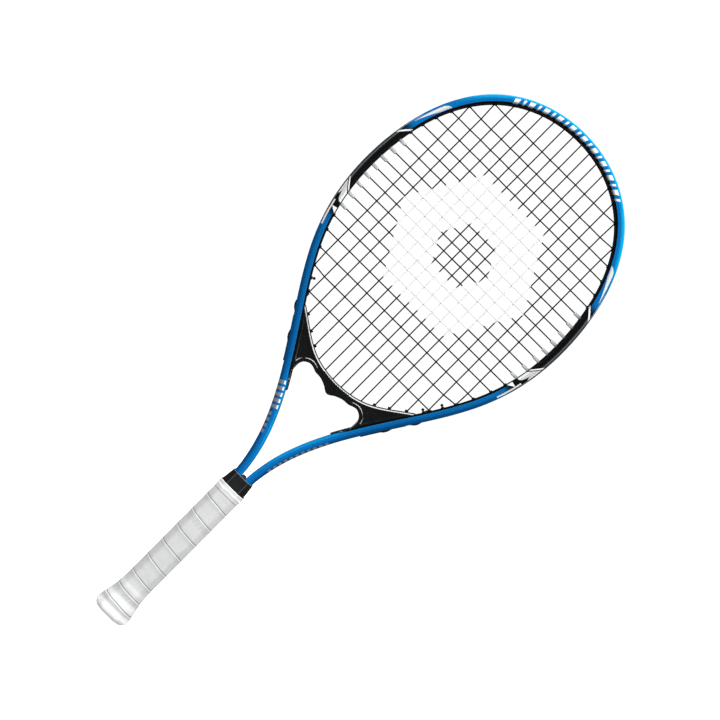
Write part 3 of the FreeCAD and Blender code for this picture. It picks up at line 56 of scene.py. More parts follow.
class Mat:
    """A material under construction: short names for the nodes that are used."""

    def __init__(self, name, base=(0.5, 0.5, 0.5, 1), rough=0.5, metallic=0.0, spec=0.5, coat=0.0, coat_rough=0.05,
                 sheen=0.0, subsurface=0.0):
        self.m = bpy.data.materials.new(name)
        self.m.use_nodes = True
        self.t = self.m.node_tree
        self.b = self.t.nodes["Principled BSDF"]
        self.b.inputs["Base Color"].default_value = base
        self.b.inputs["Roughness"].default_value = rough
        self.b.inputs["Metallic"].default_value = metallic
        self.b.inputs["Specular IOR Level"].default_value = spec
        self.b.inputs["Coat Weight"].default_value = coat
        self.b.inputs["Coat Roughness"].default_value = coat_rough
        self.b.inputs["Sheen Weight"].default_value = sheen
        if subsurface:
            self.b.inputs["Subsurface Weight"].default_value = subsurface
            self.b.inputs["Subsurface Scale"].default_value = 0.0008
        self.m.diffuse_color = base

    def node(self, kind, **kw):
        n = self.t.nodes.new(kind)
        for k, v in kw.items():
            setattr(n, k, v)
        return n

    def put(self, sock, v):
        if isinstance(v, bpy.types.NodeSocket):
            self.t.links.new(v, sock)
        else:
            sock.default_value = v

    def math(self, op, *args, clamp=False):
        n = self.node("ShaderNodeMath", operation=op, use_clamp=clamp)
        for i, a in enumerate(args):
            self.put(n.inputs[i], a)
        return n.outputs[0]

    def add(self, a, b): return self.math("ADD", a, b)
    def sub(self, a, b): return self.math("SUBTRACT", a, b)
    def mul(self, a, b): return self.math("MULTIPLY", a, b)
    def mx(self, a, b): return self.math("MAXIMUM", a, b)
    def mn(self, a, b): return self.math("MINIMUM", a, b)
    def absv(self, a): return self.math("ABSOLUTE", a)
    def inv(self, a): return self.math("SUBTRACT", 1.0, a)

    def ramp(self, x, a, b, lo=0.0, hi=1.0, kind="SMOOTHSTEP"):
        """lo below a, hi above b"""
        n = self.node("ShaderNodeMapRange", interpolation_type=kind, clamp=True)
        self.put(n.inputs["Value"], x)
        if a <= b:
            vals = (a, b, lo, hi)
        else:
            vals = (b, a, hi, lo)
        for nm, v in zip(("From Min", "From Max", "To Min", "To Max"), vals):
            n.inputs[nm].default_value = v
        return n.outputs[0]

    def step(self, x, edge, soft=0.12):
        return self.ramp(x, edge - soft, edge + soft)

    def band(self, x, a, b, soft=0.12):
        """1 between a and b"""
        return self.mul(self.step(x, a, soft), self.inv(self.step(x, b, soft)))

    def attr(self, name):
        return self.node("ShaderNodeAttribute", attribute_name=name).outputs["Fac"]

    def coord(self):
        return self.node("ShaderNodeTexCoord").outputs["Object"]

    def xyz(self, v=None):
        n = self.node("ShaderNodeSeparateXYZ")
        self.put(n.inputs[0], v if v is not None else self.coord())
        return n.outputs

    def noise(self, scale, detail=3.0, rough=0.55, vec=None, kind="FBM"):
        n = self.node("ShaderNodeTexNoise")
        n.inputs["Scale"].default_value = scale
        n.inputs["Detail"].default_value = detail
        n.inputs["Roughness"].default_value = rough
        self.put(n.inputs["Vector"], vec if vec is not None else self.coord())
        return n.outputs[0]

    def stretch(self, sx, sy, sz, vec=None):
        n = self.node("ShaderNodeMapping")
        n.inputs["Scale"].default_value = (sx, sy, sz)
        self.put(n.inputs["Vector"], vec if vec is not None else self.coord())
        return n.outputs[0]

    def cells(self, scale, vec=None, feature="F1"):
        n = self.node("ShaderNodeTexVoronoi", feature=feature)
        n.inputs["Scale"].default_value = scale
        self.put(n.inputs["Vector"], vec if vec is not None else self.coord())
        return n.outputs[0]

    def mix(self, fac, a, b):
        n = self.node("ShaderNodeMix", data_type="RGBA")
        self.put(n.inputs[0], fac)
        self.put(n.inputs[6], a)
        self.put(n.inputs[7], b)
        return n.outputs[2]

    def color(self, c):
        self.put(self.b.inputs["Base Color"], c)

    def rough(self, v):
        self.put(self.b.inputs["Roughness"], v)

    def bump(self, height, strength=0.2, dist=0.0003):
        n = self.node("ShaderNodeBump")
        n.inputs["Strength"].default_value = strength
        n.inputs["Distance"].default_value = dist
        self.put(n.inputs["Height"], height)
        self.put(self.b.inputs["Normal"], n.outputs[0])


# =====================================================================
# the bent path of the tube, in millimetres
# =====================================================================
KNOTS = [(0.0, 693.75, 0.0), (58.15, 681.0, 25.34), (97.78, 651.2, 48.76), (123.30, 608.5, 68.40),
         (136.40, 555.3, 82.96), (137.58, 500.4, 94.74), (124.79, 441.9, 110.28), (97.86, 388.4, 121.52),
         (65.25, 338.1, 122.94), (30.01, 277.6, 116.02), (11.33, 226.04, 102.6), (7.15, 192.0, 90.0)]
TUBE_W = 9.5


class Seg:
    def __init__(self, p, q, t):
        self.p, self.q, self.t = p, q, t
        cx, cz = q[0] - p[0], q[1] - p[1]
        nx, nz = -t[1], t[0]
        den = 2 * (cx * nx + cz * nz)
        if abs(den) < 1e-9 * max(1.0, cx * cx + cz * cz):
            self.R, self.L, self.te = None, math.hypot(cx, cz), t
        else:
            self.R = R = (cx * cx + cz * cz) / den
            self.o = (p[0] + nx * R, p[1] + nz * R)
            a0 = math.atan2(p[1] - self.o[1], p[0] - self.o[0])
            da = math.atan2(q[1] - self.o[1], q[0] - self.o[0]) - a0
            if R > 0:
                while da < 0:
                    da += 2 * math.pi
            else:
                while da > 0:
                    da -= 2 * math.pi
            self.a0, self.da, self.L = a0, da, abs(da * R)
            sg = 1 if R > 0 else -1
            self.te = (-math.sin(a0 + da) * sg, math.cos(a0 + da) * sg)

    def at(self, d):
        if self.R is None:
            return (self.p[0] + self.t[0] * d, self.p[1] + self.t[1] * d), self.t
        a = self.a0 + self.da * d / self.L
        sg, r = (1 if self.R > 0 else -1), abs(self.R)
        return ((self.o[0] + r * math.cos(a), self.o[1] + r * math.sin(a)),
                (-math.sin(a) * sg, math.cos(a) * sg))


def biarc(p0, t0, p1, t1):
    vx, vz = p1[0] - p0[0], p1[1] - p0[1]
    A = 2 * (t0[0] * t1[0] + t0[1] * t1[1] - 1)
    B = -2 * (vx * (t0[0] + t1[0]) + vz * (t0[1] + t1[1]))
    C = vx * vx + vz * vz
    if abs(A) < 1e-9:
        d = -C / B
    else:
        disc = math.sqrt(B * B - 4 * A * C)
        d = min(r for r in ((-B + disc) / (2 * A), (-B - disc) / (2 * A)) if r > 0)
    pm = ((p0[0] + p1[0] + d * (t0[0] - t1[0])) / 2, (p0[1] + p1[1] + d * (t0[1] - t1[1])) / 2)
    s1 = Seg(p0, pm, t0)
    return [s1, Seg(pm, p1, s1.te)]


def build_half():
    pts = []
    for x, z, a in KNOTS:
        a = math.radians(a)
        pts.append(((x, z), (math.cos(a), -math.sin(a))))
    segs = []
    for (p0, t0), (p1, t1) in zip(pts[:-1], pts[1:]):
        segs += biarc(p0, t0, p1, t1)
    segs.append(Seg((7.15, 192.0), (7.15, 46.0), (0.0, -1.0)))
    return segs


HALF = build_half()
HALF_L = sum(g.L for g in HALF)


def at(s):
    """point, heading and outward normal at arc length s from the crown (s > 0 on +X)"""
    d = abs(s)
    for g in HALF:
        if d <= g.L + 1e-9:
            p, t = g.at(min(d, g.L))
            break
        d -= g.L
    else:
        p, t = HALF[-1].at(HALF[-1].L)
    n = (-t[1], t[0])
    if s >= 0:
        return p, t, n
    return (-p[0], p[1]), (t[0], -t[1]), (-n[0], n[1])


def off(s, e, y=0.0):
    p, t, n = at(s)
    return np.array((p[0] + n[0] * e, y, p[1] + n[1] * e))


def find(fn, lo, hi):
    flo = fn(lo)
    for _ in range(60):
        mid = 0.5 * (lo + hi)
        fm = fn(mid)
        if (fm > 0) == (flo > 0):
            lo, flo = mid, fm
        else:
            hi = mid
    return 0.5 * (lo + hi)


# =====================================================================
# mesh helpers
# =====================================================================
def mesh_object(name, verts_mm, faces, material, attrs=None, smooth=True):
    me = bpy.data.meshes.new(name)
    me.from_pydata((np.asarray(verts_mm, float) * MM).tolist(), [], faces)
    for nm, vals in (attrs or {}).items():
        a = me.attributes.new(nm, "FLOAT", "POINT")
        a.data.foreach_set("value", np.asarray(vals, np.float32))
    me.materials.append(material)
    me.update()
    bm = bmesh.new()
    bm.from_mesh(me)
    bmesh.ops.recalc_face_normals(bm, faces=bm.faces)
    bm.to_mesh(me)
    bm.free()
    if smooth:
        me.polygons.foreach_set("use_smooth", [True] * len(me.polygons))
    ob = bpy.data.objects.new(name, me)
    bpy.context.scene.collection.objects.link(ob)
    return ob


def loft(rings, cap0=True, cap1=True, closed_path=False):
    """verts and faces for rings of equal size, each closed on itself"""
    rings = [np.asarray(r, float) for r in rings]
    n, m = len(rings), len(rings[0])
    verts = np.concatenate(rings)
    faces = []
    last = n if closed_path else n - 1
    for i in range(last):
        a, b = i * m, ((i + 1) % n) * m
        for j in range(m):
            k = (j + 1) % m
            faces.append((a + j, a + k, b + k, b + j))
    if not closed_path:
        if cap0:
            faces.append(tuple(range(m - 1, -1, -1)))
        if cap1:
            faces.append(tuple(range((n - 1) * m, n * m)))
    return verts, faces


def join_meshes(parts):
    """[(verts, faces)] -> one (verts, faces)"""
    vs, fs, base = [], [], 0
    for v, f in parts:
        vs.append(np.asarray(v, float))
        fs += [tuple(q + base for q in face) for face in f]
        base += len(v)
    return np.concatenate(vs), fs


def rounded(points, radii, seg=5, guard=0.22):
    """closed 2-D polygon with rounded corners; guard points keep the flats flat when shaded smooth"""
    n, out = len(points), []
    P = [np.array(p, float) for p in points]
    for i in range(n):
        a, b, c = P[i - 1], P[i], P[(i + 1) % n]
        u, w = a - b, c - b
        lu, lw = np.linalg.norm(u), np.linalg.norm(w)
        u, w = u / lu, w / lw
        r = radii[i] if hasattr(radii, "__len__") else radii
        cosang = float(np.clip(np.dot(u, w), -1, 1))
        half = math.acos(cosang) / 2
        if r <= 1e-6 or abs(half - math.pi / 2) < 1e-4:
            out.append(b)
            continue
        k = min(r / math.tan(half), 0.46 * lu, 0.46 * lw)
        r = k * math.tan(half)
        bis = (u + w) / np.linalg.norm(u + w)
        o = b + bis * (r / math.sin(half))
        A, B = b + u * k, b + w * k
        a0 = math.atan2(*(A - o)[::-1])
        a1 = math.atan2(*(B - o)[::-1])
        da = (a1 - a0 + math.pi) % (2 * math.pi) - math.pi
        g = min(guard, 0.02 * lu + guard * 0.5)
        if k + g < 0.5 * lu:
            out.append(A + u * g)
        for q in range(seg + 1):
            t = a0 + da * q / seg
            out.append(o + r * np.array((math.cos(t), math.sin(t))))
        g = min(guard, 0.02 * lw + guard * 0.5)
        if k + g < 0.5 * lw:
            out.append(B + w * g)
    return np.array(out)


def tube_mesh(path, radius, sides=10):
    """round tube along an (n,3) path with parallel-transported rings; radius may be an array"""
    P = np.asarray(path, float)
    n = len(P)
    T = np.gradient(P, axis=0)
    T /= np.linalg.norm(T, axis=1)[:, None]
    rad = np.full(n, radius, float) if np.isscalar(radius) else np.asarray(radius, float)
    up = np.array((0.0, 1.0, 0.0))
    if abs(T[0] @ up) > 0.9:
        up = np.array((1.0, 0.0, 0.0))
    U = up - T[0] * (up @ T[0])
    U /= np.linalg.norm(U)
    ang = np.linspace(0, 2 * math.pi, sides, endpoint=False)
    ca, sa = np.cos(ang)[:, None], np.sin(ang)[:, None]
    rings = []
    for i in range(n):
        U = U - T[i] * (U @ T[i])
        U /= np.linalg.norm(U)
        V = np.cross(T[i], U)
        rings.append(P[i] + rad[i] * (ca * U + sa * V))
    return loft(rings)


def octagon(w, d, c):
    """corners of a handle section: half width, half depth, corner cut"""
    a, b = w / 2, d / 2
    return [(a - c, -b), (a, -b + c), (a, b - c), (a - c, b), (-a + c, b), (-a, b - c), (-a, -b + c), (-a + c, -b)]


def finish_piece(ob, slot, *nodes):
    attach(ob, "root")
    if nodes:
        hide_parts(*nodes)
    return ob


# =====================================================================
# camera first: the racket lies tilted in the picture, seen square to its face
# =====================================================================
scene = bpy.context.scene
THETA = math.radians(44.8)
R_ = Vector((math.cos(THETA), 0, math.sin(THETA)))
U_ = Vector((-math.sin(THETA), 0, math.cos(THETA)))
B_ = Vector((0, -1, 0))                       # from the racket back to the camera
DIST = 2.0
cam_data = bpy.data.cameras.new("camera")
cam = bpy.data.objects.new("camera", cam_data)
scene.collection.objects.link(cam)
scene.camera = cam
cam_data.sensor_width = 36.0
cam_data.lens = 36.0 * DIST / 0.744            # 744 mm of the racket's plane fills the width
cam_data.clip_start, cam_data.clip_end = 0.05, 60.0
target = Vector((0.0, 0.0, 0.3692))
cam.matrix_world = Matrix((
    (R_.x, U_.x, B_.x, target.x + B_.x * DIST),
    (R_.y, U_.y, B_.y, target.y + B_.y * DIST),
    (R_.z, U_.z, B_.z, target.z + B_.z * DIST),
    (0, 0, 0, 1)))


# =====================================================================
# materials
# =====================================================================
BLUE = rgb(0, 90, 148)
BLUE_PAINTED_LIT = rgb(0, 104, 164)
BLUE_LO = rgb(0, 70, 122)
BLUE_LEG = rgb(0, 92, 156)
BLUE_LEG_PAINTED_LIT = rgb(0, 126, 188)
CYAN_PAINTED_HIGHLIGHT = rgb(0, 160, 214)
CYAN_IN_PAINTED_HIGHLIGHT = rgb(0, 138, 190)
NAVY = rgb(1, 13, 34)
BLACK = rgb(6, 8, 10)
WHITE = rgb(216, 216, 214)
SILVER = rgb(172, 173, 174)
GREY = rgb(116, 118, 120)


def frame_paint():
    """Gloss paint over the aluminium, with its decorations placed by arc length (S) and distance in from the outer edge (R)."""
    m = Mat("frame_paint", rough=0.36, spec=0.06, coat=0.02, coat_rough=0.1)
    signed = m.attr("S")
    S = m.absv(signed)
    R = m.attr("R")
    fine = m.noise(900.0, 2.0, 0.5)
    broad = m.noise(28.0, 2.0, 0.5)
    # painted light and shade in the blue: the hoop is painted lighter towards its outer edge, the legs are painted
    # lighter towards the inner edge and darker at the outer edge, and darker along their upper part, partly darker
    # paint and partly painted shade
    leg = m.ramp(S, 300.0, 345.0)
    hoop_blue = m.mix(m.ramp(R, 1.4, 6.5), BLUE_PAINTED_LIT, BLUE)
    leg_blue = m.mix(m.mul(m.ramp(R, 6.5, 7.6), m.inv(m.mul(m.ramp(S, 556.0, 580.0), 0.5))), BLUE_LEG, BLUE_LEG_PAINTED_LIT)
    leg_blue = m.mix(m.inv(m.ramp(R, 1.2, 3.8)), leg_blue, BLUE_LO)
    leg_blue = m.mix(m.mul(m.inv(m.ramp(S, 455.0, 515.0)), 0.55), leg_blue, BLUE_LO)
    blue = m.mix(leg, hoop_blue, leg_blue)
    blue = m.mix(m.mul(m.ramp(broad, 0.35, 0.65), 0.22), blue, BLUE_LO)
    # painted highlight: a bright cyan edge line round the crown, reaching further along the right side
    right = m.step(signed, 0.0, 0.01)
    crown = m.inv(m.ramp(m.sub(S, m.mul(right, 28.0)), 98.0, 148.0))
    soft = m.ramp(S, 78.0, 94.0)
    edge_in_highlight = m.mul(crown, m.mx(m.inv(m.ramp(R, 2.5, 2.9)), m.mul(soft, m.inv(m.ramp(R, 2.4, 4.8)))))
    blue = m.mix(edge_in_highlight, blue, CYAN_IN_PAINTED_HIGHLIGHT)
    blue = m.mix(m.mul(crown, m.inv(m.ramp(R, 1.3, 1.9))), blue, CYAN_PAINTED_HIGHLIGHT)
    # the blue sinks to navy at both ends of the black side panels
    T1 = m.add(S, m.mul(R, 1.64))
    T2 = m.sub(S, m.mul(R, 1.64))
    navy = m.mul(m.ramp(S, 187.0, 200.0), m.inv(m.ramp(S, 312.5, 323.0)))
    blue = m.mix(navy, blue, NAVY)
    # crown: a row of plain slanted bars, wide and narrow in turn, white fading to grey at the inner side
    tilt = m.add(signed, m.mul(m.sub(R, 5.8), 0.4))
    inside = m.band(tilt, -80.6, 80.6, 0.16)
    saw = m.mul(m.math("FRACT", m.mul(m.add(tilt, 600.0), 1.0 / 16.2)), 16.2)
    bars = m.mul(inside, m.mx(m.band(saw, 1.2, 6.8, 0.14), m.band(saw, 11.0, 13.4, 0.14)))
    bars = m.mul(bars, m.band(R, 2.85, 9.3, 0.14))
    bar_col = m.mix(m.ramp(R, 4.8, 8.0), WHITE, rgb(104, 106, 108))
    bar_col = m.mix(m.ramp(R, 7.9, 9.2), bar_col, rgb(44, 46, 48))
    col = blue
    # shoulder: a tapering silver flash, straight along its outer side
    lead = m.mul(m.math("POWER", m.mul(m.math("MAXIMUM", m.sub(7.3, R), 0.0), 1.0 / 4.4), 2.0), 6.4)
    foot = m.sub(7.2, m.mul(m.math("MAXIMUM", m.sub(S, 158.0), 0.0), 0.152))
    flash = m.mul(m.step(m.sub(S, lead), 146.2, 0.25), m.mul(m.step(R, 2.7, 0.12), m.inv(m.step(m.sub(R, foot), 0.0, 0.14))))
    flash = m.mul(flash, m.inv(m.step(S, 188.0, 0.3)))
    col = m.mix(flash, col, m.mix(m.ramp(R, 3.6, 7.4), rgb(196, 197, 198), rgb(158, 160, 162)))
    # thin grey line from the tail of the flash along the outer edge
    trail = m.mul(m.band(S, 176.0, 214.0, 1.0), m.band(R, 0.9, 1.35, 0.1))
    col = m.mix(m.mul(trail, 0.8), col, SILVER)
    # black side panel with fine grey lines along it
    panel = m.mul(m.step(T1, 210.7, 0.15), m.inv(m.step(T2, 272.6, 0.15)))
    col = m.mix(panel, col, BLACK)
    lines = m.mx(m.mul(m.band(R, 1.0, 2.75, 0.2), 0.34), m.mx(m.band(R, 2.75, 3.25, 0.1), m.mul(m.band(R, 7.9, 8.3, 0.1), 0.8)))
    col = m.mix(m.mul(m.mul(lines, panel), 0.9), col, GREY)
    # silver field below, with a hooked black notch rising into it
    below = m.step(T2, 274.4, 0.12)
    rise = m.mul(m.math("MAXIMUM", m.sub(4.0, R), 0.0), 1.9)
    fall = m.mul(m.inv(m.math("EXPONENT", m.mul(m.math("MAXIMUM", m.sub(R, 4.0), 0.0), -0.91))), 11.6)
    notch = m.sub(S, m.add(rise, fall))
    field = m.mul(below, m.inv(m.step(notch, 290.2, 0.25)))
    dark = m.mul(m.step(T2, 272.5, 0.12), m.inv(m.step(S, 311.6, 0.6)))
    col = m.mix(dark, col, BLACK)
    tone = m.mix(m.mx(m.inv(m.ramp(R, 2.4, 3.2)), m.ramp(R, 7.2, 7.8)), SILVER, WHITE)
    silver = m.mul(field, m.band(R, 1.7, 9.3, 0.12))
    # white rail along the outer side, and the wedge that hangs from it
    rail = m.mul(m.band(S, 301.6, 329.8, 0.3), m.band(m.add(R, m.mul(m.sub(S, 301.6), 0.012)), 1.9, 3.5, 0.12))
    wedge = m.mul(m.mul(m.step(S, 308.4, 0.2), m.inv(m.step(R, 9.2, 0.12))), m.mul(m.step(R, 3.2, 0.1), m.inv(m.step(m.sub(S, m.mul(m.math("MAXIMUM", m.sub(R, 4.0), 0.0), 1.12)), 309.0, 0.25))))
    grey_edge = m.mul(m.band(S, 274.0, 324.0, 1.5), m.band(R, 0.7, 1.4, 0.12))
    col = m.mix(m.mul(grey_edge, 0.85), col, GREY)
    # legs: short runs of plain grey bars at the outer side; the first ones on the left reach across, with white ends
    for side_, s0, s1, reach_, white in ((0, 495.6, 527.6, 7.9, 1.0), (0, 530.2, 556.0, 3.6, 0.0), (1, 509.4, 582.0, 2.5, 0.0)):
        sl = m.sub(S, s0)
        saw = m.math("FRACT", m.mul(sl, 1.0 / 6.6))
        dash = m.mul(m.band(saw, 0.02, 0.60, 0.03), m.band(sl, 0.0, s1 - s0, 0.2))
        width = m.mul(m.step(R, 0.2, 0.1), m.inv(m.step(R, reach_, 0.12)))
        tone_ = m.mix(m.mul(m.ramp(R, reach_ - 1.8, reach_ - 1.4), white), rgb(118, 118, 118), rgb(226, 227, 227))
        pick = right if side_ else m.inv(right)
        col = m.mix(m.mul(m.mul(dash, width), m.mul(pick, 0.94)), col, tone_)
    # everything inside the inner corner is black down to the foot of the throat
    inner = m.mul(m.step(R, 7.85, 0.14), m.inv(m.ramp(S, 486.0, 500.0)))
    col = m.mix(inner, col, BLACK)
    # painted over the black: crown bars, white slashes at the ends of the panel, silver field
    col = m.mix(bars, col, bar_col)
    slash = m.mul(m.mx(m.band(T1, 207.8, 211.2, 0.2), m.band(T2, 270.0, 272.6, 0.2)), m.band(R, 1.7, 9.2, 0.15))
    col = m.mix(slash, col, m.mix(m.ramp(R, 3.0, 8.5), WHITE, rgb(196, 197, 198)))
    col = m.mix(silver, col, tone)
    col = m.mix(m.mx(rail, wedge), col, WHITE)
    col = m.mix(m.mul(m.ramp(fine, 0.62, 0.78), 0.035), col, BLACK)
    m.color(col)
    m.rough(m.ramp(m.noise(120.0, 3.0), 0.3, 0.7, 0.30, 0.40))
    m.bump(m.noise(260.0, 2.0), 0.03, 0.0002)
    return m.m


def grommet_plastic():
    m = Mat("grommet_plastic", rough=0.45, spec=0.3)
    n = m.noise(300.0, 4.0)
    m.color(m.mix(m.ramp(n, 0.3, 0.7), rgb(8, 9, 11), rgb(17, 19, 22)))
    m.rough(m.ramp(n, 0.3, 0.7, 0.36, 0.55))
    m.bump(m.noise(1400.0, 3.0), 0.12, 0.0001)
    return m.m


def string_polymer():
    """dark monofilament with a white stencilled mark: a plain hexagonal ring"""
    m = Mat("string_polymer", rough=0.4, spec=0.12)
    x, y, z = m.xyz()
    X = m.mul(m.absv(x), 1000.0 / 87.0)
    Z = m.mul(m.absv(m.sub(m.mul(z, 1000.0), 521.0)), 1.0 / 74.0)
    hexd = m.mx(Z, m.add(X, m.mul(Z, 0.5)))
    wob = m.mul(m.sub(m.noise(700.0, 2.0), 0.5), 0.03)
    mask = m.band(m.add(hexd, wob), 0.40, 1.0, 0.008)
    grain = m.noise(1500.0, 3.0)
    ink = m.mix(m.ramp(grain, 0.35, 0.7), rgb(216, 217, 218), rgb(188, 190, 193))
    fibre = m.mix(m.ramp(m.noise(900.0, 3.0, vec=m.stretch(1, 1, 0.05)), 0.3, 0.7), rgb(7, 8, 9), rgb(16, 17, 19))
    m.color(m.mix(m.mul(mask, m.inv(m.mul(m.ramp(grain, 0.66, 0.74), 0.5))), fibre, ink))
    m.rough(m.add(m.mul(mask, 0.3), m.ramp(grain, 0.3, 0.7, 0.3, 0.4)))
    m.bump(grain, 0.15, 0.00006)
    return m.m


def white_rubber():
    m = Mat("white_rubber", rough=0.5, spec=0.35)
    n = m.noise(260.0, 4.0)
    m.color(m.mix(m.ramp(n, 0.3, 0.75), rgb(190, 192, 194), rgb(158, 162, 166)))
    m.rough(m.ramp(n, 0.3, 0.7, 0.42, 0.6))
    m.bump(m.noise(1800.0, 3.0), 0.12, 0.00008)
    return m.m


def yoke_plastic():
    m = Mat("yoke_plastic", rough=0.14, spec=0.9, coat=0.9, coat_rough=0.05)
    n = m.noise(55.0, 3.0)
    scuff = m.noise(340.0, 6.0, 0.7, vec=m.stretch(1, 1, 0.35))
    m.color(m.mix(m.ramp(n, 0.3, 0.7), rgb(5, 6, 8), rgb(10, 12, 15)))
    m.rough(m.add(m.ramp(n, 0.3, 0.7, 0.11, 0.16), m.ramp(scuff, 0.7, 0.8, 0.0, 0.03)))
    m.bump(m.noise(40.0, 1.0), 0.01, 0.0001)
    return m.m


def yoke_wall():
    m = Mat("yoke_wall_plastic", rough=0.5, spec=0.25)
    n = m.noise(260.0, 4.0)
    m.color(m.mix(m.ramp(n, 0.3, 0.7), rgb(9, 10, 12), rgb(16, 17, 20)))
    m.rough(m.ramp(n, 0.3, 0.7, 0.46, 0.6))
    m.bump(m.noise(1500.0, 3.0), 0.15, 0.0001)
    return m.m


def grip_leather():
    """cushioned wrap: fine grain that runs across each turn, with painted shade in the seams and painted highlights on
    the lips and the flare
    """
    m = Mat("grip_leather", rough=0.62, spec=0.3, sheen=0.06)
    a = m.attr("A")            # mm along the strip
    w = m.attr("W")            # mm down from the seam above
    v = m.node("ShaderNodeCombineXYZ")
    m.put(v.inputs[0], m.mul(a, 0.8))
    m.put(v.inputs[1], m.mul(w, 0.22))
    streak = m.noise(1.3, 4.0, 0.6, vec=v.outputs[0])
    grain = m.noise(1500.0, 3.0, 0.6)
    broad = m.noise(60.0, 3.0)
    x, y, z = m.xyz()
    zm = m.mul(z, 1000.0)
    col = m.mix(m.ramp(broad, 0.3, 0.7), rgb(196, 196, 195), rgb(188, 189, 189))
    col = m.mix(m.mul(m.ramp(streak, 0.40, 0.75), 0.55), col, rgb(168, 170, 171))
    # painted shade: each turn is darker just below the seam above it; painted highlight: pale bands on the flare at z
    # 17-24 and 35.5-40 mm where it faces up, and the wrap is also paler below z 13 mm and from z 173 mm up
    col = m.mix(m.mul(m.inv(m.ramp(w, 1.5, 8.0)), 0.35), col, rgb(164, 166, 167))
    pale = m.mx(m.mul(m.band(zm, 35.5, 40.0, 2.2), 0.4), m.mx(m.mul(m.band(zm, 17.0, 24.0, 2.4), 0.7), m.mx(m.mul(m.band(zm, 173.1, 190.0, 0.3), 0.25), m.inv(m.ramp(zm, 10.0, 13.0)))))
    col = m.mix(m.mul(pale, 0.9), col, rgb(226, 226, 225))
    # painted shade in the crease under each seam
    seam = m.attr("E")
    col = m.mix(m.mul(m.ramp(seam, 0.2, 0.7), 0.9), col, rgb(100, 103, 105))
    # painted highlight on the lip of each turn and on a thin line above each crease
    lip = m.attr("H")
    col = m.mix(m.mul(m.ramp(lip, 0.3, 1.0), 0.6), col, rgb(228, 229, 228))
    col = m.mix(m.mul(m.ramp(m.attr("C"), 0.2, 0.9), 0.42), col, rgb(158, 161, 163))
    m.color(col)
    m.rough(m.ramp(grain, 0.3, 0.7, 0.52, 0.72))
    h = m.add(m.mul(streak, 0.6), m.mul(grain, 0.35))
    m.bump(h, 0.35, 0.00022)
    return m.m


def cap_plastic():
    m = Mat("cap_plastic", rough=0.48, spec=0.35)
    n = m.noise(90.0, 4.0)
    x, y, z = m.xyz()
    # painted shade: the rounded bottom edge is darkened below z 3.4 mm
    edge = m.inv(m.ramp(m.mul(z, 1000.0), 0.2, 3.4))
    col = m.mix(m.ramp(n, 0.3, 0.7), rgb(250, 250, 250), rgb(240, 241, 241))
    col = m.mix(m.mul(edge, 0.55), col, rgb(196, 199, 200))
    m.color(col)
    m.rough(m.ramp(n, 0.3, 0.7, 0.4, 0.56))
    m.bump(m.noise(1300.0, 3.0), 0.1, 0.0001)
    return m.m


def badge_plastic():
    m = Mat("badge_plastic", rough=0.22, spec=0.5, coat=0.4)
    x, y, z = m.xyz()
    X, Y = m.absv(m.mul(x, 1000.0)), m.absv(m.mul(y, 1000.0))
    hexd = m.mx(X, m.add(m.mul(X, 0.5), m.mul(Y, 0.9)))
    ring = m.band(hexd, 3.2, 5.6, 0.12)
    n = m.noise(200.0, 3.0)
    blue = m.mix(m.ramp(n, 0.3, 0.7), rgb(0, 96, 172), rgb(0, 112, 192))
    m.color(m.mix(ring, blue, rgb(236, 238, 240)))
    m.rough(m.ramp(n, 0.3, 0.7, 0.18, 0.3))
    m.bump(ring, 0.2, 0.0001)
    return m.m


def tape_plastic():
    m = Mat("tape_plastic", rough=0.4, spec=0.4)
    n = m.noise(220.0, 4.0)
    x, y, z = m.xyz()
    zm = m.mul(z, 1000.0)
    # painted highlight: both edges of the band are painted near white
    rim = m.mx(m.inv(m.ramp(zm, 178.6, 179.6)), m.ramp(zm, 182.2, 182.5))
    col = m.mix(m.ramp(n, 0.3, 0.7), rgb(202, 203, 203), rgb(192, 194, 195))
    m.color(m.mix(m.mul(rim, 0.95), col, rgb(250, 250, 250)))
    m.rough(m.ramp(n, 0.3, 0.7, 0.34, 0.5))
    m.bump(m.noise(500.0, 3.0, vec=m.stretch(1, 1, 3)), 0.15, 0.0001)
    return m.m


def collar_rubber():
    m = Mat("collar_rubber", rough=0.55, spec=0.35)
    n = m.noise(240.0, 5.0)
    x, y, z = m.xyz()
    facet_edge_highlight = m.attr("E")
    zm = m.mul(z, 1000.0)
    col = m.mix(m.ramp(n, 0.3, 0.75), rgb(6, 8, 10), rgb(12, 14, 16))
    # painted highlight: pale lines along the eight rounded edges of the octagon
    col = m.mix(m.mul(facet_edge_highlight, 0.45), col, rgb(78, 76, 74))
    # painted highlight: the upper edge is painted pale; painted shade: the rolled lower lip is painted darker
    col = m.mix(m.mul(m.ramp(zm, 197.95, 198.25), 0.75), col, rgb(128, 130, 132))
    col = m.mix(m.mul(m.inv(m.ramp(zm, 183.5, 184.3)), 0.8), col, rgb(4, 5, 6))
    m.color(col)
    m.rough(m.ramp(n, 0.3, 0.7, 0.46, 0.64))
    m.bump(m.noise(1600.0, 3.0), 0.2, 0.0001)
    return m.m


def pallet_plastic():
    m = Mat("pallet_plastic", rough=0.6, spec=0.3)
    n = m.noise(180.0, 4.0)
    m.color(m.mix(m.ramp(n, 0.3, 0.7), rgb(34, 35, 38), rgb(50, 51, 54)))
    m.rough(m.ramp(n, 0.3, 0.7, 0.5, 0.7))
    m.bump(m.noise(900.0, 3.0), 0.15, 0.0001)
    return m.m


def metal(name, dark, light, rough):
    m = Mat(name, rough=rough, metallic=1.0)
    n = m.noise(700.0, 4.0, 0.6, vec=m.stretch(1, 1, 0.08))
    m.color(m.mix(m.ramp(n, 0.3, 0.7), dark, light))
    m.rough(m.ramp(n, 0.3, 0.7, rough - 0.06, rough + 0.1))
    m.bump(n, 0.1, 0.00005)
    return m.m


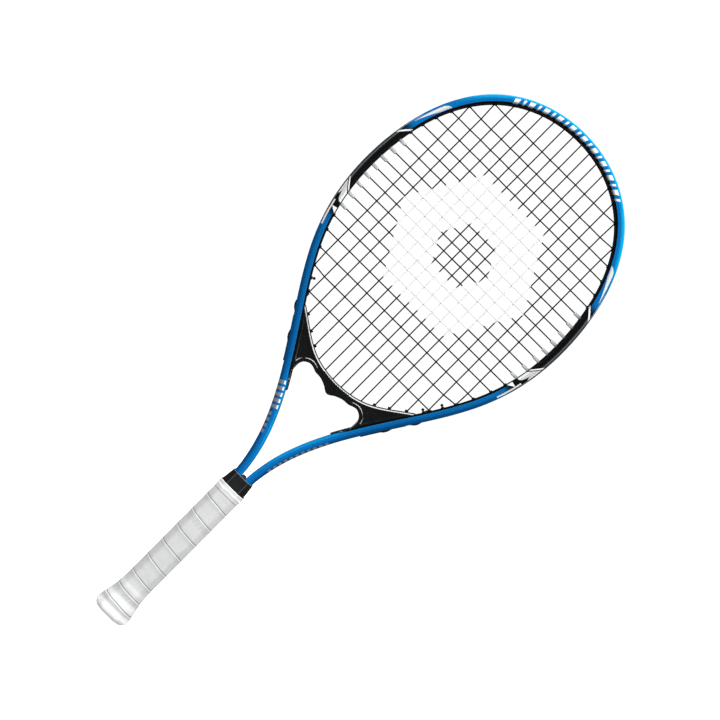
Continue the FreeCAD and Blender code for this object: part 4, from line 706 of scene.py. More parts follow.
M_FRAME = frame_paint()
M_GROMMET = grommet_plastic()
M_STRING = string_polymer()
M_SLEEVE = white_rubber()
M_YOKE = yoke_plastic()
M_YOKE_WALL = yoke_wall()
M_GRIP = grip_leather()
M_CAP = cap_plastic()
M_BADGE = badge_plastic()
M_TAPE = tape_plastic()
M_COLLAR = collar_rubber()
M_PALLET = pallet_plastic()
M_RIVET = metal("rivet_aluminium", rgb(196, 198, 200), rgb(222, 223, 225), 0.32)
M_WIRE = metal("wire_steel", rgb(160, 162, 166), rgb(196, 198, 202), 0.28)

for names, mat in ((("crown_grommet_strip", "side_grommet_strip_left", "side_grommet_strip_right", "shaft_grommet_strip_left",
                     "shaft_grommet_strip_right", "yoke_grommets"), M_GROMMET),
                   (("main_string", "cross_string"), M_STRING), (("shock_sleeves_left", "shock_sleeves_right"), M_SLEEVE),
                   (("frame_tube",), M_FRAME), (("throat_yoke",), M_YOKE), (("pallet_front", "pallet_back"), M_PALLET),
                   (("pallet_rivets",), M_RIVET), (("butt_cap_staples", "grip_tack"), M_WIRE), (("butt_cap",), M_CAP),
                   (("butt_badge",), M_BADGE), (("grip_wrap",), M_GRIP), (("finishing_tape",), M_TAPE),
                   (("rubber_collar",), M_COLLAR)):
    for nm in names:
        me = NODES[nm].data
        me.materials.clear()
        me.materials.append(mat)


for nm in ("main_string", "cross_string"):
    mod = NODES[nm].modifiers.new("coating", "DISPLACE")
    mod.strength = 0.00007
    mod.mid_level = 0.0


# =====================================================================
# frame tube: the bent extrusion with rolled corners
# =====================================================================
def build_frame():
    upper = [(2.4, 3.5), (0.0, 3.5), (0.0, 5.5), (1.5, 8.2), (4.0, 11.0), (8.1, 11.0), (9.5, 9.4)]
    radii = [0.3, 0.45, 1.8, 3.0, 2.6, 1.2, 1.2]
    pts = upper + [(r, -y) for r, y in reversed(upper)]
    sec = rounded(pts, radii + radii[::-1], seg=5)
    s0, s1, step = -HALF_L, HALF_L, 1.6
    n = int(round((s1 - s0) / step))
    rings, S, R = [], [], []
    for i in range(n + 1):
        s = s0 + (s1 - s0) * i / n
        p, t, nn = at(s)
        e = TUBE_W / 2 - sec[:, 0]
        rings.append(np.stack((p[0] + nn[0] * e, sec[:, 1], p[1] + nn[1] * e), axis=1))
        S.append(np.full(len(sec), s))
        R.append(np.where((abs(sec[:, 1]) < 3.9) & (sec[:, 0] < 3.0), 0.0, sec[:, 0]))   # the string groove stays plain
    v, f = loft(rings)
    return mesh_object("frame_tube_painted", v, f, M_FRAME, {"S": np.concatenate(S), "R": np.concatenate(R)})


finish_piece(build_frame(), "frame_paint", "frame_tube")


# =====================================================================
# throat yoke: the moulding's outline from listed points and the tube's inner wall, with rolled edges
# =====================================================================
YOKE_TOP = [(0.0, 335.6, 0.0), (45.0, 346.6, 30.0), (77.9, 369.1, 35.5)]
YOKE_LOW = [(0.0, 320.2), (2.2, 320.8), (4.6, 322.2), (7.3, 324.1), (11.6, 326.0), (16.2, 327.5), (20.1, 327.8),
            (24.0, 328.1), (27.3, 329.3), (29.9, 330.2), (33.2, 330.6), (37.1, 329.3), (40.4, 326.7), (42.3, 323.4),
            (42.7, 319.2), (42.6, 313.7)]


def chain_points(knots, step):
    """points along tangent arcs through (x, z) or (x, z, heading) knots"""
    pts = [(k[0], k[1]) for k in knots]
    if len(knots[0]) == 3:
        dirs = [(math.cos(math.radians(k[2])), math.sin(math.radians(k[2]))) for k in knots]
    else:
        dirs = []
        for q in range(len(pts)):
            a, b = pts[max(q - 1, 0)], pts[min(q + 1, len(pts) - 1)]
            L = math.hypot(b[0] - a[0], b[1] - a[1])
            dirs.append(((b[0] - a[0]) / L, (b[1] - a[1]) / L))
        dirs[0], dirs[-1] = (1.0, 0.0), (0.0, -1.0)
    out = [pts[0]]
    for q in range(len(pts) - 1):
        for g in biarc(pts[q], dirs[q], pts[q + 1], dirs[q + 1]):
            m = max(1, int(round(g.L / step)))
            out += [g.at(g.L * k / m)[0] for k in range(1, m + 1)]
    return out


def yoke_outline(step=0.7):
    """the moulding's outline as an anticlockwise (x, z) loop, seen with +X to the right and +Z up"""
    wall = -TUBE_W / 2 - 0.06
    z_s = lambda z, e: find(lambda q: off(q, e)[2] - z, 300.0, 560.0)
    low = chain_points(YOKE_LOW, step)
    lip_e = wall - 1.5
    s_a, s_b = z_s(313.7, lip_e), z_s(293.2, lip_e)
    lip = [tuple(off(s, lip_e)[[0, 2]]) for s in np.arange(s_a + step, s_b, step)]
    s_c, s_d = z_s(293.2, wall), z_s(371.3, wall)
    side = [tuple(off(s, wall)[[0, 2]]) for s in np.arange(s_c, s_d, -step)]
    top = chain_points(YOKE_TOP, step)[::-1]
    right = low + lip + side + top
    left = [(-x, z) for x, z in right[::-1]]
    loop = right + left[1:-1]
    return np.array(loop)


def signed_area(P):
    x, y = P[:, 0], P[:, 1]
    return 0.5 * float(np.sum(x * np.roll(y, -1) - np.roll(x, -1) * y))


def inward(P):
    """unit inward normals of a counter-clockwise loop"""
    T = np.roll(P, -1, axis=0) - np.roll(P, 1, axis=0)
    T /= np.linalg.norm(T, axis=1)[:, None]
    return np.stack((-T[:, 1], T[:, 0]), axis=1)


def thickness(P, N):
    """how far it is across the shape from each point, inward"""
    n = len(P)
    A, B = P, np.roll(P, -1, axis=0)
    out = np.full(n, 50.0)
    for i in range(n):
        o, d = P[i] + N[i] * 0.05, N[i]
        e = B - A
        den = d[0] * e[:, 1] - d[1] * e[:, 0]
        w = A - o
        with np.errstate(divide="ignore", invalid="ignore"):
            t = (w[:, 0] * e[:, 1] - w[:, 1] * e[:, 0]) / den
            u = (w[:, 0] * d[1] - w[:, 1] * d[0]) / den
        ok = (t > 0.05) & (u >= 0) & (u <= 1) & np.isfinite(t)
        if ok.any():
            out[i] = t[ok].min()
    return out


def cap_faces(loop2d, base, flip):
    """triangles over a closed loop whose vertices start at index base"""
    pts = [Vector((float(x), float(z), 0.0)) for x, z in loop2d]
    out = []
    for tri in tessellate_polygon([pts]):
        t = tuple(base + i for i in tri)
        out.append(t[::-1] if flip else t)
    return out


def reach(Q, A, B):
    """distance of each point in Q to the nearest of the segments A-B"""
    out = np.full(len(Q), 1e9)
    d = B - A
    L2 = np.maximum((d ** 2).sum(1), 1e-12)
    for k in range(0, len(Q), 2000):
        q = Q[k:k + 2000]
        w = q[:, None, :] - A[None]
        t = np.clip((w * d[None]).sum(2) / L2[None], 0, 1)
        e = w - t[..., None] * d[None]
        out[k:k + 2000] = np.sqrt((e ** 2).sum(2).min(1))
    return out


def within(Q, P):
    """which points of Q lie inside the loop P"""
    odd = np.zeros(len(Q), bool)
    x, y = Q[:, 0], Q[:, 1]
    for (x0, y0), (x1, y1) in zip(P, np.roll(P, -1, axis=0)):
        cross = (y0 > y) != (y1 > y)
        if y1 != y0:
            odd ^= cross & (x < (x1 - x0) * (y - y0) / (y1 - y0) + x0)
    return odd


def ease(v, lo, hi):
    t = np.clip((v - lo) / (hi - lo), 0, 1)
    return t * t * (3 - 2 * t)


def build_yoke():
    """moulded bridge: rolled top edge with a flat bevel, shallow wells at both ends, square against the tube"""
    P = yoke_outline(0.5)
    if signed_area(P) < 0:
        P = P[::-1]
    for _ in range(3):
        P = 0.25 * np.roll(P, 1, axis=0) + 0.5 * P + 0.25 * np.roll(P, -1, axis=0)
    N = inward(P)
    for _ in range(4):
        N = np.roll(N, 1, axis=0) + 2 * N + np.roll(N, -1, axis=0)
        N /= np.linalg.norm(N, axis=1)[:, None]
    wall = np.array([off(s, -TUBE_W / 2 - 0.06) for s in np.linspace(380, 505, 251)])
    near = np.array([np.min(np.hypot(abs(x) - wall[:, 0], z - wall[:, 2])) for x, z in P])
    by_tube = near < 0.8
    top_edge = (N[:, 1] < -0.5) & ~by_tube
    low_edge = ~by_tube & ~top_edge
    # mesh points: the outline, rings just inside it, then an even grid
    A, B = P, np.roll(P, -1, axis=0)
    pts = [P]
    for e in (0.1, 0.25, 0.5, 0.8, 1.15, 1.55, 1.95, 2.4, 2.9):
        Q = P + N * e
        ok = (reach(Q, A, B) > e * 0.93) & within(Q, P)
        pts.append(Q[ok])
    gx = np.arange(-66.0, 66.01, 0.62)
    gz = np.arange(292.0, 372.0, 0.62)
    G = np.array([(x + (0.31 if k % 2 else 0.0), z) for k, z in enumerate(gz) for x in gx])
    G = G[within(G, P)]
    G = G[reach(G, A, B) > 3.15]
    pts = np.vstack(pts + [G])
    n = len(P)
    edges = [(i, (i + 1) % n) for i in range(n)]
    vco, _, tris, _, _, _ = delaunay_2d_cdt([Vector((float(x), float(z))) for x, z in pts], edges, [], 0, 1e-5)
    V = np.array([(v.x, v.y) for v in vco])
    tri = np.array([t for t in tris if len(t) == 3])
    mid = V[tri].mean(axis=1)
    tri = tri[within(mid, P)]
    area2 = (V[tri[:, 1], 0] - V[tri[:, 0], 0]) * (V[tri[:, 2], 1] - V[tri[:, 0], 1]) - (V[tri[:, 2], 0] - V[tri[:, 0], 0]) * (V[tri[:, 1], 1] - V[tri[:, 0], 1])
    tri[area2 < 0] = tri[area2 < 0][:, ::-1]
    # distance to each kind of edge
    d_top = reach(V, A[top_edge], B[top_edge])
    d_low = reach(V, A[low_edge], B[low_edge])
    d_tube = reach(V, A[by_tube], B[by_tube])

    def roll(d, r):
        t = np.clip(d / r, 0, 1)
        return r * (1 - np.sqrt(np.clip(1 - (1 - t) ** 2, 0, 1)))
    # the bevel is very slightly crowned, so that it carries one broad highlight
    t = np.clip((2.5 - d_top) / 2.0, 0, 1.25)
    bevel = 2.0 * (0.37 * t + 0.045 * t * t)
    drop = roll(d_top, 0.85) + bevel + roll(d_low, 0.9) + roll(d_tube, 0.25)
    m = np.minimum(np.minimum(d_top - 0.1, d_low), d_tube + 2.0)
    drop += 0.62 * ease(m, 3.2, 4.7) * ease(abs(V[:, 0]), 19.0, 27.0)
    # short ribs under the bevel at the middle of the bridge
    rib = np.clip(0.35 - 1.2 * np.cos(V[:, 0] * 2 * math.pi / 2.6), 0, 1) * (abs(V[:, 0]) < 17.5)
    drop += 0.32 * rib * np.exp(-((d_top - 2.5) / 0.45) ** 2)
    # ejector dimples near the corners of the throat opening
    for x0 in (-44.8, 44.8):
        q = np.hypot(V[:, 0] - x0, V[:, 1] - 328.1)
        drop -= 0.42 * np.exp(-(q / 0.75) ** 2) * np.minimum(1.0, drop / 0.42)
    half = 9.8
    drop = np.maximum(drop, 0.0)
    k = len(V)
    front = np.stack((V[:, 0], -(half - drop), V[:, 1]), axis=1)
    back = np.stack((V[:, 0], half - drop, V[:, 1]), axis=1)
    faces = [tuple(int(i) for i in t) for t in tri]
    faces += [tuple(int(i) + k for i in t[::-1]) for t in tri]
    # outline vertices in the triangulation keep their input order
    assert np.allclose(V[:n], P, atol=1e-3)
    for i in range(n):
        j = (i + 1) % n
        faces.append((j, i, i + k, j + k))
    return mesh_object("throat_yoke_moulding", np.vstack((front, back)), faces, M_YOKE)


yoke_ob = build_yoke()
# the narrow walls all round the moulding have a fine matt grain
yoke_ob.data.materials.append(M_YOKE_WALL)
for poly in yoke_ob.data.polygons:
    if abs(poly.normal.y) < 0.35:
        poly.material_index = 1
finish_piece(yoke_ob, "yoke_plastic", "throat_yoke")


# =====================================================================
# handle: rounded octagonal sections along Z
# =====================================================================
def section(w, d, c, rad, per=10):
    """evenly indexed rounded octagon: same point count at every height"""
    pts = rounded(octagon(w, d, c), rad, seg=per, guard=0.0)
    return pts


def even(loop, n):
    """n points round a closed loop, starting at the front middle (angle -90 degrees)"""
    P = np.asarray(loop, float)
    L = np.concatenate(([0], np.cumsum(np.linalg.norm(np.diff(np.vstack((P, P[:1])), axis=0), axis=1))))
    Q = np.vstack((P, P[:1]))
    # start where the loop crosses x = 0 with y < 0
    start = 0.0
    for i in range(len(P)):
        a, b = Q[i], Q[i + 1]
        if a[1] < 0 and b[1] < 0 and a[0] * b[0] <= 0 and a[0] != b[0]:
            start = L[i] + (L[i + 1] - L[i]) * (0 - a[0]) / (b[0] - a[0])
            break
    t = (start + np.arange(n) * L[-1] / n) % L[-1]
    return np.stack((np.interp(t, L, Q[:, 0]), np.interp(t, L, Q[:, 1])), axis=1)


def table_at(table, z):
    zs = [r[0] for r in table]
    return [float(np.interp(z, zs, [r[k] for r in table])) for k in range(1, len(table[0]))]


GRIP = [(8.0, 42.0, 38.8, 9.5), (9.5, 42.0, 38.8, 9.5), (14.2, 40.4, 37.3, 9.1), (19.0, 38.3, 35.3, 8.6),
        (27.0, 34.9, 32.2, 7.85), (36.0, 33.1, 30.6, 7.4), (46.0, 32.3, 29.9, 7.25), (60.0, 32.1, 29.7, 7.2),
        (182.5, 32.1, 29.7, 7.2)]


def smooth_table(table, k=2.5):
    """the same table with its corners eased, by averaging over a short height"""
    zs = np.array([r[0] for r in table])
    out = []
    for z in np.arange(zs[0], zs[-1] + 0.01, 0.5):
        w = np.linspace(-k, k, 11)
        zz = np.clip(z + w, zs[0], zs[-1])
        row = [float(z)]
        for c in range(1, len(table[0])):
            row.append(float(np.mean(np.interp(zz, zs, [r[c] for r in table]))))
        out.append(tuple(row))
    return out


GRIP_S = smooth_table([(z, w, d + sw, c) for (z, w, d, c), sw in zip(
    [(8.0, 42.0, 38.8, 9.5), (9.5, 42.0, 38.8, 9.5), (12.0, 41.1, 38.5, 9.3), (14.2, 40.4, 38.2, 9.1), (16.5, 39.4, 37.6, 8.8),
     (19.0, 38.3, 36.4, 8.6), (23.0, 36.6, 34.0, 8.2), (25.0, 35.7, 33.3, 8.0), (27.0, 34.9, 33.0, 7.85), (34.0, 33.3, 32.4, 7.5),
     (36.0, 33.1, 31.9, 7.4), (41.0, 32.6, 30.4, 7.3), (46.0, 32.3, 29.9, 7.25), (60.0, 32.1, 29.7, 7.2), (182.5, 32.1, 29.7, 7.2)],
    [0.0] * 15)], 1.6)
# seams seen on the front: height at the left edge, falling to the right edge
SEAM_L = [163.2, 141.6, 119.2, 98.0, 76.0, 53.6, 34.2, 18.8]


def weld(verts, faces, attrs, tol=2e-4):
    """join coincident vertices and drop the faces that collapse"""
    key = np.round(verts / tol).astype(np.int64)
    _, first, inverse = np.unique(key, axis=0, return_index=True, return_inverse=True)
    inverse = inverse.reshape(-1)
    out = []
    for f in faces:
        g = []
        for i in f:
            k = int(inverse[i])
            if not g or g[-1] != k:
                g.append(k)
        if len(g) > 1 and g[0] == g[-1]:
            g.pop()
        if len(set(g)) == len(g) and len(g) >= 3:
            out.append(tuple(g))
    return verts[first], out, {n: a[first] for n, a in attrs.items()}


def build_grip():
    """one long strip wound down the handle: the mesh rows follow the strip, each turn has a rounded lip and a crease beneath"""
    n_th = 200
    z0, z1 = 8.0, 181.2
    turn_z = [206.0, 185.0] + SEAM_L + [2.5, -14.0]
    T = np.arange(len(turn_z), dtype=float)
    pitch = [0.0, 0.08, 0.17, 0.27, 0.38, 0.5, 0.65, 0.8, 1.0, 1.25, 1.6, 2.0, 2.5, 3.0, 3.5, 4.0]
    pitch += list(np.arange(4.35, 10.2, 0.36)) + list(np.arange(10.8, 19.7, 0.8))
    pitch += [20.0, 20.2, 20.4, 20.6, 20.85, 21.05, 21.2, 21.35, 21.47, 21.58, 21.68, 21.78, 21.86, 21.93]
    fr = np.array(pitch) / 22.0
    M = len(fr)
    vs = np.concatenate([k + fr for k in range(0, 10)] + [[10.0]])
    turns = np.floor(vs + 1e-9)
    fs = vs - turns
    # columns: fixed places round the section, starting at the left edge
    w, d, c = table_at(GRIP_S, 100.0)
    ref = even(section(w, d, c, 0.2 * w), n_th)
    sh = ((np.arctan2(ref[:, 1], ref[:, 0]) + math.pi) / (2 * math.pi)) % 1.0
    roll_by = int(np.argmin(sh))
    sh = np.roll(sh, -roll_by)
    drop = sh - 0.18 * np.sin(math.pi * sh) ** 2                  # the wrap runs flatter on the front
    # sections at close heights, to be read off by interpolation
    zt = np.arange(z0, z1 + 0.26, 0.25)
    zt[-1] = z1
    sec_tab = []
    for z in zt:
        w, d, c = table_at(GRIP_S, z)
        sec_tab.append(np.roll(even(section(w, d, c, 0.2 * w), n_th), -roll_by, axis=0))
    sec_tab = np.array(sec_tab)

    def on_section(z, j):
        k = np.clip(np.searchsorted(zt, z) - 1, 0, len(zt) - 2)
        t = np.clip((z - zt[k]) / (zt[k + 1] - zt[k]), 0, 1)[:, None]
        return sec_tab[k, j] * (1 - t) + sec_tab[k + 1, j] * t

    V = np.zeros((len(vs), n_th, 3))
    att = {k: np.zeros((len(vs), n_th)) for k in "AWEHC"}
    for j in range(n_th):
        tn = vs + drop[j]
        z = np.interp(tn, T, turn_z)
        pm = np.interp(tn - 0.5, T, turn_z) - np.interp(tn + 0.5, T, turn_z)
        idx = np.where(fs < 0.5, turns, turns + 1) + sh[j]
        near = np.minimum(fs, 1 - fs) * pm
        z = z + (0.25 * np.sin(5.6 * idx) + 0.16 * np.sin(14.4 * idx + 0.6)) * np.exp(-near / 3.0)
        z = np.clip(z, z0, z1)
        up, below = fs * pm, (1 - fs) * pm
        lip = 0.30 * np.exp(-(up / 2.4) ** 2)
        edge_ = 1.0 - np.exp(-(up / 0.42) ** 2)
        crease = 0.62 * np.exp(-((below - 0.1) / 0.55) ** 2)
        second = 0.07 * np.exp(-((below - 1.75) / 0.5) ** 2)
        q = sh[j] + turns
        ripple = 0.03 * np.sin(q * 44 + 2.1) * np.exp(-below / 6.0)
        ripple += 0.022 * np.sin(q * 25.13 + z * 0.21 + 1.3) + 0.014 * np.sin(q * 69.1 + z * 0.55 + 0.4)
        hgt = lip * edge_ - 0.30 * (1 - edge_) - crease - second + ripple - 0.36
        # generic embossing on the third turn and the last one: a row of slanted lozenges
        deb = np.zeros(len(vs))
        for k, lo_, hi_, s_lo, s_hi in ((4, 4.5, 9.5, 0.10, 0.46), (9, 2.6, 6.4, 0.22, 0.46)):
            if not s_lo < sh[j] < s_hi:
                continue
            u_ = (sh[j] - s_lo) * 98.0 + (up - lo_) * 0.35
            cell = np.abs((u_ / 4.6) % 1.0 - 0.5) * 2
            body = np.clip((0.70 - cell) * 6, 0, 1) * np.clip((up - lo_) * 2.2, 0, 1) * np.clip((hi_ - up) * 2.2, 0, 1)
            core = np.clip((0.34 - cell) * 6, 0, 1) * np.clip((up - lo_ - 1.2) * 2.2, 0, 1) * np.clip((hi_ - 1.2 - up) * 2.2, 0, 1)
            deb += np.where(turns == k - 1, np.clip(body - core, 0, 1), 0.0)
        # cut end of the strip: a level seam under the finishing tape
        above = 1.0 / (1.0 + np.exp(-(z - 172.8) / 0.12))
        end = np.exp(-((z - 172.8) / 0.5) ** 2)
        hgt = hgt * (1 - above) + (-0.24 + ripple) * above - 0.22 * end - 0.16 * deb
        fade = np.clip((z - z0) / 1.0, 0, 1) * np.clip((z1 - z) / 1.2, 0, 1)
        hgt = hgt * fade - 0.02
        P = on_section(z, j)
        P = P + P / np.linalg.norm(P, axis=1)[:, None] * hgt[:, None]
        V[:, j, 0], V[:, j, 1], V[:, j, 2] = P[:, 0], P[:, 1], z
        att["A"][:, j] = q * 98.0
        att["W"][:, j] = up
        # E: where the painted shade of the crease under each seam goes
        att["E"][:, j] = np.maximum(np.exp(-((below - 0.15) / 0.62) ** 2) * (1 - above), 0.75 * end)
        # H: where the painted highlight on the lip and on a thin line above the crease goes
        att["H"][:, j] = (np.exp(-((up - 0.9) / 0.55) ** 2) + 0.35 * np.exp(-((below - 1.7) / 0.4) ** 2)) * (1 - above)
        att["C"][:, j] = deb
    rows = len(vs)
    at_ = lambda i, j: i * n_th + j
    faces = []
    for i in range(rows - 1):
        for j in range(n_th - 1):
            faces.append((at_(i, j), at_(i + 1, j), at_(i + 1, j + 1), at_(i, j + 1)))
        if i + M + 1 < rows:
            faces.append((at_(i, n_th - 1), at_(i + 1, n_th - 1), at_(i + M + 1, 0), at_(i + M, 0)))
    V = V.reshape(-1, 3)
    att = {k: a.reshape(-1) for k, a in att.items()}

    def end_ring(z):
        P = on_section(np.full(n_th, z), np.arange(n_th))
        P = P - P / np.linalg.norm(P, axis=1)[:, None] * 0.02
        return np.stack((P[:, 0], P[:, 1], np.full(n_th, z)), axis=1)

    def inner(z):
        w, d, c = table_at(GRIP_S, z)
        P = np.roll(even(section(w - 3.1, d - 3.1, c * 0.9, 2.6), n_th), -roll_by, axis=0)
        return np.stack((P[:, 0], P[:, 1], np.full(n_th, z)), axis=1)
    wall = [end_ring(z0)] + [inner(z) for z in (z0 - 0.02, 9.5, 14.2, 19.0, 27.0, 36.0, 46.0, 60.0, 100.0, 150.0, z1 + 0.3)] + [end_ring(z1)]
    base = len(V)
    for r in range(len(wall) - 1):
        for j in range(n_th):
            k = (j + 1) % n_th
            faces.append((base + r * n_th + j, base + (r + 1) * n_th + j, base + (r + 1) * n_th + k, base + r * n_th + k))
    V = np.vstack([V] + wall)
    att = {k: np.concatenate((a, np.zeros(len(V) - base))) for k, a in att.items()}
    V, faces, att = weld(V, faces, att)
    return mesh_object("grip_wrap_turns", V, faces, M_GRIP, att)


finish_piece(build_grip(), "grip_leather", "grip_wrap")


def stack(rows, n=160, rad=3.0):
    """rings for (z, w, d, c[, rad]) rows"""
    rings = []
    for row in rows:
        z, w, d, c = row[:4]
        r = row[4] if len(row) > 4 else rad
        P = even(section(w, d, c, r), n)
        rings.append(np.stack((P[:, 0], P[:, 1], np.full(n, z)), axis=1))
    return rings


def build_cap():
    """butt cap: rounded skirt, flat foot with a shallow seat for the badge, and a short sleeve inside the wrap"""
    prof = [(0.0, 27.4, 24.4, 6.3), (0.0, 28.8, 25.8, 6.5), (0.25, 30.6, 27.6, 6.9), (0.75, 32.6, 29.6, 7.4),
            (1.5, 34.8, 31.8, 7.9), (2.4, 36.8, 33.8, 8.4), (3.4, 38.6, 35.6, 8.8), (4.5, 40.1, 37.0, 9.1),
            (5.6, 41.1, 37.9, 9.3), (6.6, 41.7, 38.4, 9.4), (7.3, 41.9, 38.6, 9.45), (7.7, 41.6, 38.3, 9.4),
            (7.95, 40.8, 37.5, 9.2), (8.0, 39.6, 36.4, 8.9), (8.05, 38.6, 35.4, 8.5), (14.2, 37.0, 33.9, 8.1),
            (19.0, 34.9, 31.9, 7.6), (27.0, 31.5, 28.8, 6.85), (36.0, 29.7, 27.2, 6.4), (42.0, 29.1, 26.7, 6.25)]
    rings = stack(prof, 160, 4.6)
    n = 160
    ang = np.linspace(-math.pi / 2, 1.5 * math.pi, n, endpoint=False)

    def circle(r, z):
        return np.stack((r * np.cos(ang), r * np.sin(ang), np.full(n, z)), axis=1)
    foot = [circle(9.1, 1.3), circle(9.1, 0.12), circle(9.25, 0.0)]
    mid = (circle(9.25, 0.0) + rings[0]) / 2
    rings = foot + [mid] + rings
    v, f = loft(rings)
    return mesh_object("butt_cap_shell", v, f, M_CAP)


finish_piece(build_cap(), "cap_plastic", "butt_cap")


def build_badge():
    n = 96
    ang = np.linspace(0, 2 * math.pi, n, endpoint=False)
    rows = [(8.96, 1.29), (8.96, 0.55), (8.85, 0.4), (8.6, 0.32), (8.0, 0.3), (7.8, 0.36), (7.6, 0.42), (4.0, 0.38), (1.0, 0.36)]
    rings = [np.stack((r * np.cos(ang), r * np.sin(ang), np.full(n, z)), axis=1) for r, z in rows]
    v, f = loft(rings)
    return mesh_object("butt_badge_disc", v, f, M_BADGE)


finish_piece(build_badge(), "badge_plastic", "butt_badge")


def build_tape():
    """finishing tape: a thin band whose lower edge ruckles slightly over the wrap"""
    n = 192
    ang = np.arange(n) / n * 2 * math.pi
    wave = 0.5 * np.sin(3 * ang + 0.6) + 0.3 * np.sin(7 * ang + 2.0)
    rows = [(177.5, 32.0, 29.6, 7.2, 0.0), (177.35, 32.35, 29.95, 7.28, 1.0), (177.5, 32.6, 30.2, 7.35, 1.0),
            (178.1, 32.75, 30.35, 7.4, 0.9), (178.9, 32.55, 30.15, 7.35, 0.6), (180.4, 32.5, 30.1, 7.33, 0.2),
            (182.0, 32.5, 30.1, 7.33, 0.0), (182.6, 32.4, 30.0, 7.3, 0.0), (182.8, 32.0, 29.6, 7.2, 0.0),
            (182.7, 31.4, 29.0, 7.05, 0.0), (177.6, 31.4, 29.0, 7.05, 0.0)]
    rings = []
    for z, w, d, c, k in rows:
        P = even(section(min(w, 32.6), min(d, 30.2), c, 3.3), n)
        rings.append(np.stack((P[:, 0], P[:, 1], z + k * wave), axis=1))
    v, f = loft(rings, cap0=False, cap1=False, closed_path=True)
    return mesh_object("finishing_tape_band", v, f, M_TAPE)


finish_piece(build_tape(), "tape", "finishing_tape")


def build_collar():
    """stretch collar: faceted sleeve with a rolled lip at each end"""
    rows = [(183.2, 29.7, 28.7, 6.7), (182.95, 29.9, 28.9, 6.75), (182.9, 30.15, 29.15, 6.8), (183.05, 30.3, 29.3, 6.85),
            (183.5, 30.3, 29.3, 6.85), (183.95, 30.0, 29.0, 6.8), (184.4, 29.86, 28.9, 6.75), (186.0, 29.5, 28.6, 6.6),
            (190.0, 28.55, 27.75, 6.25), (194.0, 27.55, 26.9, 5.85), (196.6, 26.9, 26.35, 5.6), (197.3, 26.85, 26.3, 5.55),
            (197.9, 26.75, 26.25, 5.5), (198.3, 26.45, 26.0, 5.45), (198.5, 26.0, 25.6, 5.3), (198.5, 25.2, 24.8, 5.05),
            (198.3, 24.7, 24.3, 4.9), (197.6, 24.6, 24.2, 4.85), (190.0, 26.1, 25.3, 5.5), (184.0, 27.5, 26.5, 6.0),
            (183.4, 28.6, 27.6, 6.4)]
    n = 176
    rings, E = [], []
    for z, w, d, c in rows:
        P = even(rounded(octagon(w, d, c), 1.1, seg=7, guard=0.0), n)
        rings.append(np.stack((P[:, 0], P[:, 1], np.full(n, z)), axis=1))
        a, b = w / 2, d / 2
        # closeness to the eight edges of the octagon, which the collar material paints as highlight lines
        cor = np.array(octagon(w, d, c))
        dist = np.min(np.linalg.norm(P[:, None, :] - cor[None], axis=2), axis=1)
        E.append(np.exp(-(dist / 0.55) ** 2))
    v, f = loft(rings, cap0=False, cap1=False, closed_path=True)
    return mesh_object("rubber_collar_sleeve", v, f, M_COLLAR, {"E": np.concatenate(E)})


finish_piece(build_collar(), "collar_rubber", "rubber_collar")


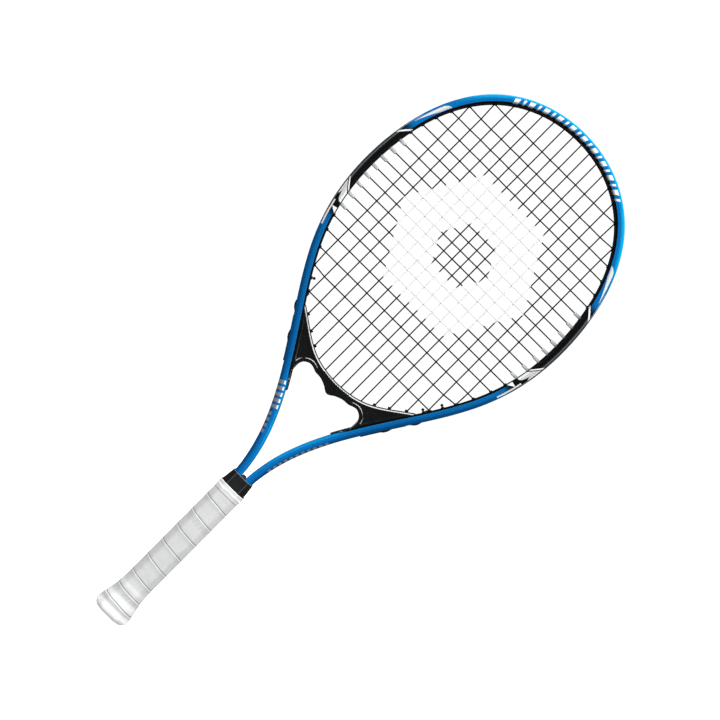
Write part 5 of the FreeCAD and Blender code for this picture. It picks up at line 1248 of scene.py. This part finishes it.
# =====================================================================
# floor, light and world
# =====================================================================
def stage():
    me = bpy.data.meshes.new("floor")
    S_ = 14.0
    me.from_pydata([(-S_, -S_, 0), (S_, -S_, 0), (S_, S_, 0), (-S_, S_, 0)], [], [(0, 1, 2, 3)])
    ob = bpy.data.objects.new("floor", me)
    scene.collection.objects.link(ob)
    mat = bpy.data.materials.new("floor_pale")
    mat.use_nodes = True
    b = mat.node_tree.nodes["Principled BSDF"]
    b.inputs["Base Color"].default_value = (0.84, 0.84, 0.84, 1)
    b.inputs["Roughness"].default_value = 0.9
    b.inputs["Specular IOR Level"].default_value = 0.0
    b.inputs["Emission Color"].default_value = (1, 1, 1, 1)
    b.inputs["Emission Strength"].default_value = 0.70
    me.materials.append(mat)
    ob.visible_diffuse = False
    ob.visible_glossy = False

    w = bpy.data.worlds.new("studio")
    scene.world = w
    w.use_nodes = True
    t = w.node_tree
    bg = t.nodes["Background"]
    out = t.nodes["World Output"]
    bg.inputs["Color"].default_value = (1, 1, 1, 1)
    bg.inputs["Strength"].default_value = 0.44
    lp = t.nodes.new("ShaderNodeLightPath")

    def mixed(flag, first, strength):
        bgn = t.nodes.new("ShaderNodeBackground")
        bgn.inputs["Color"].default_value = (1, 1, 1, 1)
        bgn.inputs["Strength"].default_value = strength
        mx_ = t.nodes.new("ShaderNodeMixShader")
        t.links.new(lp.outputs[flag], mx_.inputs[0])
        t.links.new(first, mx_.inputs[1])
        t.links.new(bgn.outputs[0], mx_.inputs[2])
        return mx_.outputs[0]
    sh = mixed("Is Glossy Ray", bg.outputs[0], 0.05)
    sh = mixed("Is Camera Ray", sh, 1.05)
    t.links.new(sh, out.inputs["Surface"])

    def area(name, loc, size, power, look=(0, 0, 0.4), glossy=False):
        d = bpy.data.lights.new(name, "AREA")
        d.shape = "RECTANGLE"
        d.size, d.size_y = size
        d.energy = power
        o = bpy.data.objects.new(name, d)
        o.location = loc
        o.rotation_euler = (Vector(look) - Vector(loc)).to_track_quat("-Z", "Y").to_euler()
        o.visible_camera = False
        o.visible_glossy = glossy
        scene.collection.objects.link(o)
        return o
    area("key_strip", (0.1, -1.75, 2.1), (3.0, 0.6), 56.0, glossy=True)
    area("top", (0.3, -0.3, 2.9), (1.6, 1.0), 26.0)
    area("fill_right", (2.4, -1.9, 0.8), (1.0, 1.6), 26.0, glossy=True)
    area("fill_left", (-2.4, -2.0, 0.6), (1.0, 1.6), 30.0, glossy=True)
    area("low_front", (0.2, -2.3, 0.16), (2.2, 0.22), 12.0, look=(0, 0, 0.02))
    area("back_soft", (-0.8, 2.4, 1.6), (2.0, 1.6), 52.0)
    scene.view_settings.view_transform = "Standard"
    scene.view_settings.look = "None"
    scene.view_settings.exposure = 0.0
    scene.view_settings.gamma = 1.0


stage()

bpy.context.view_layer.update()
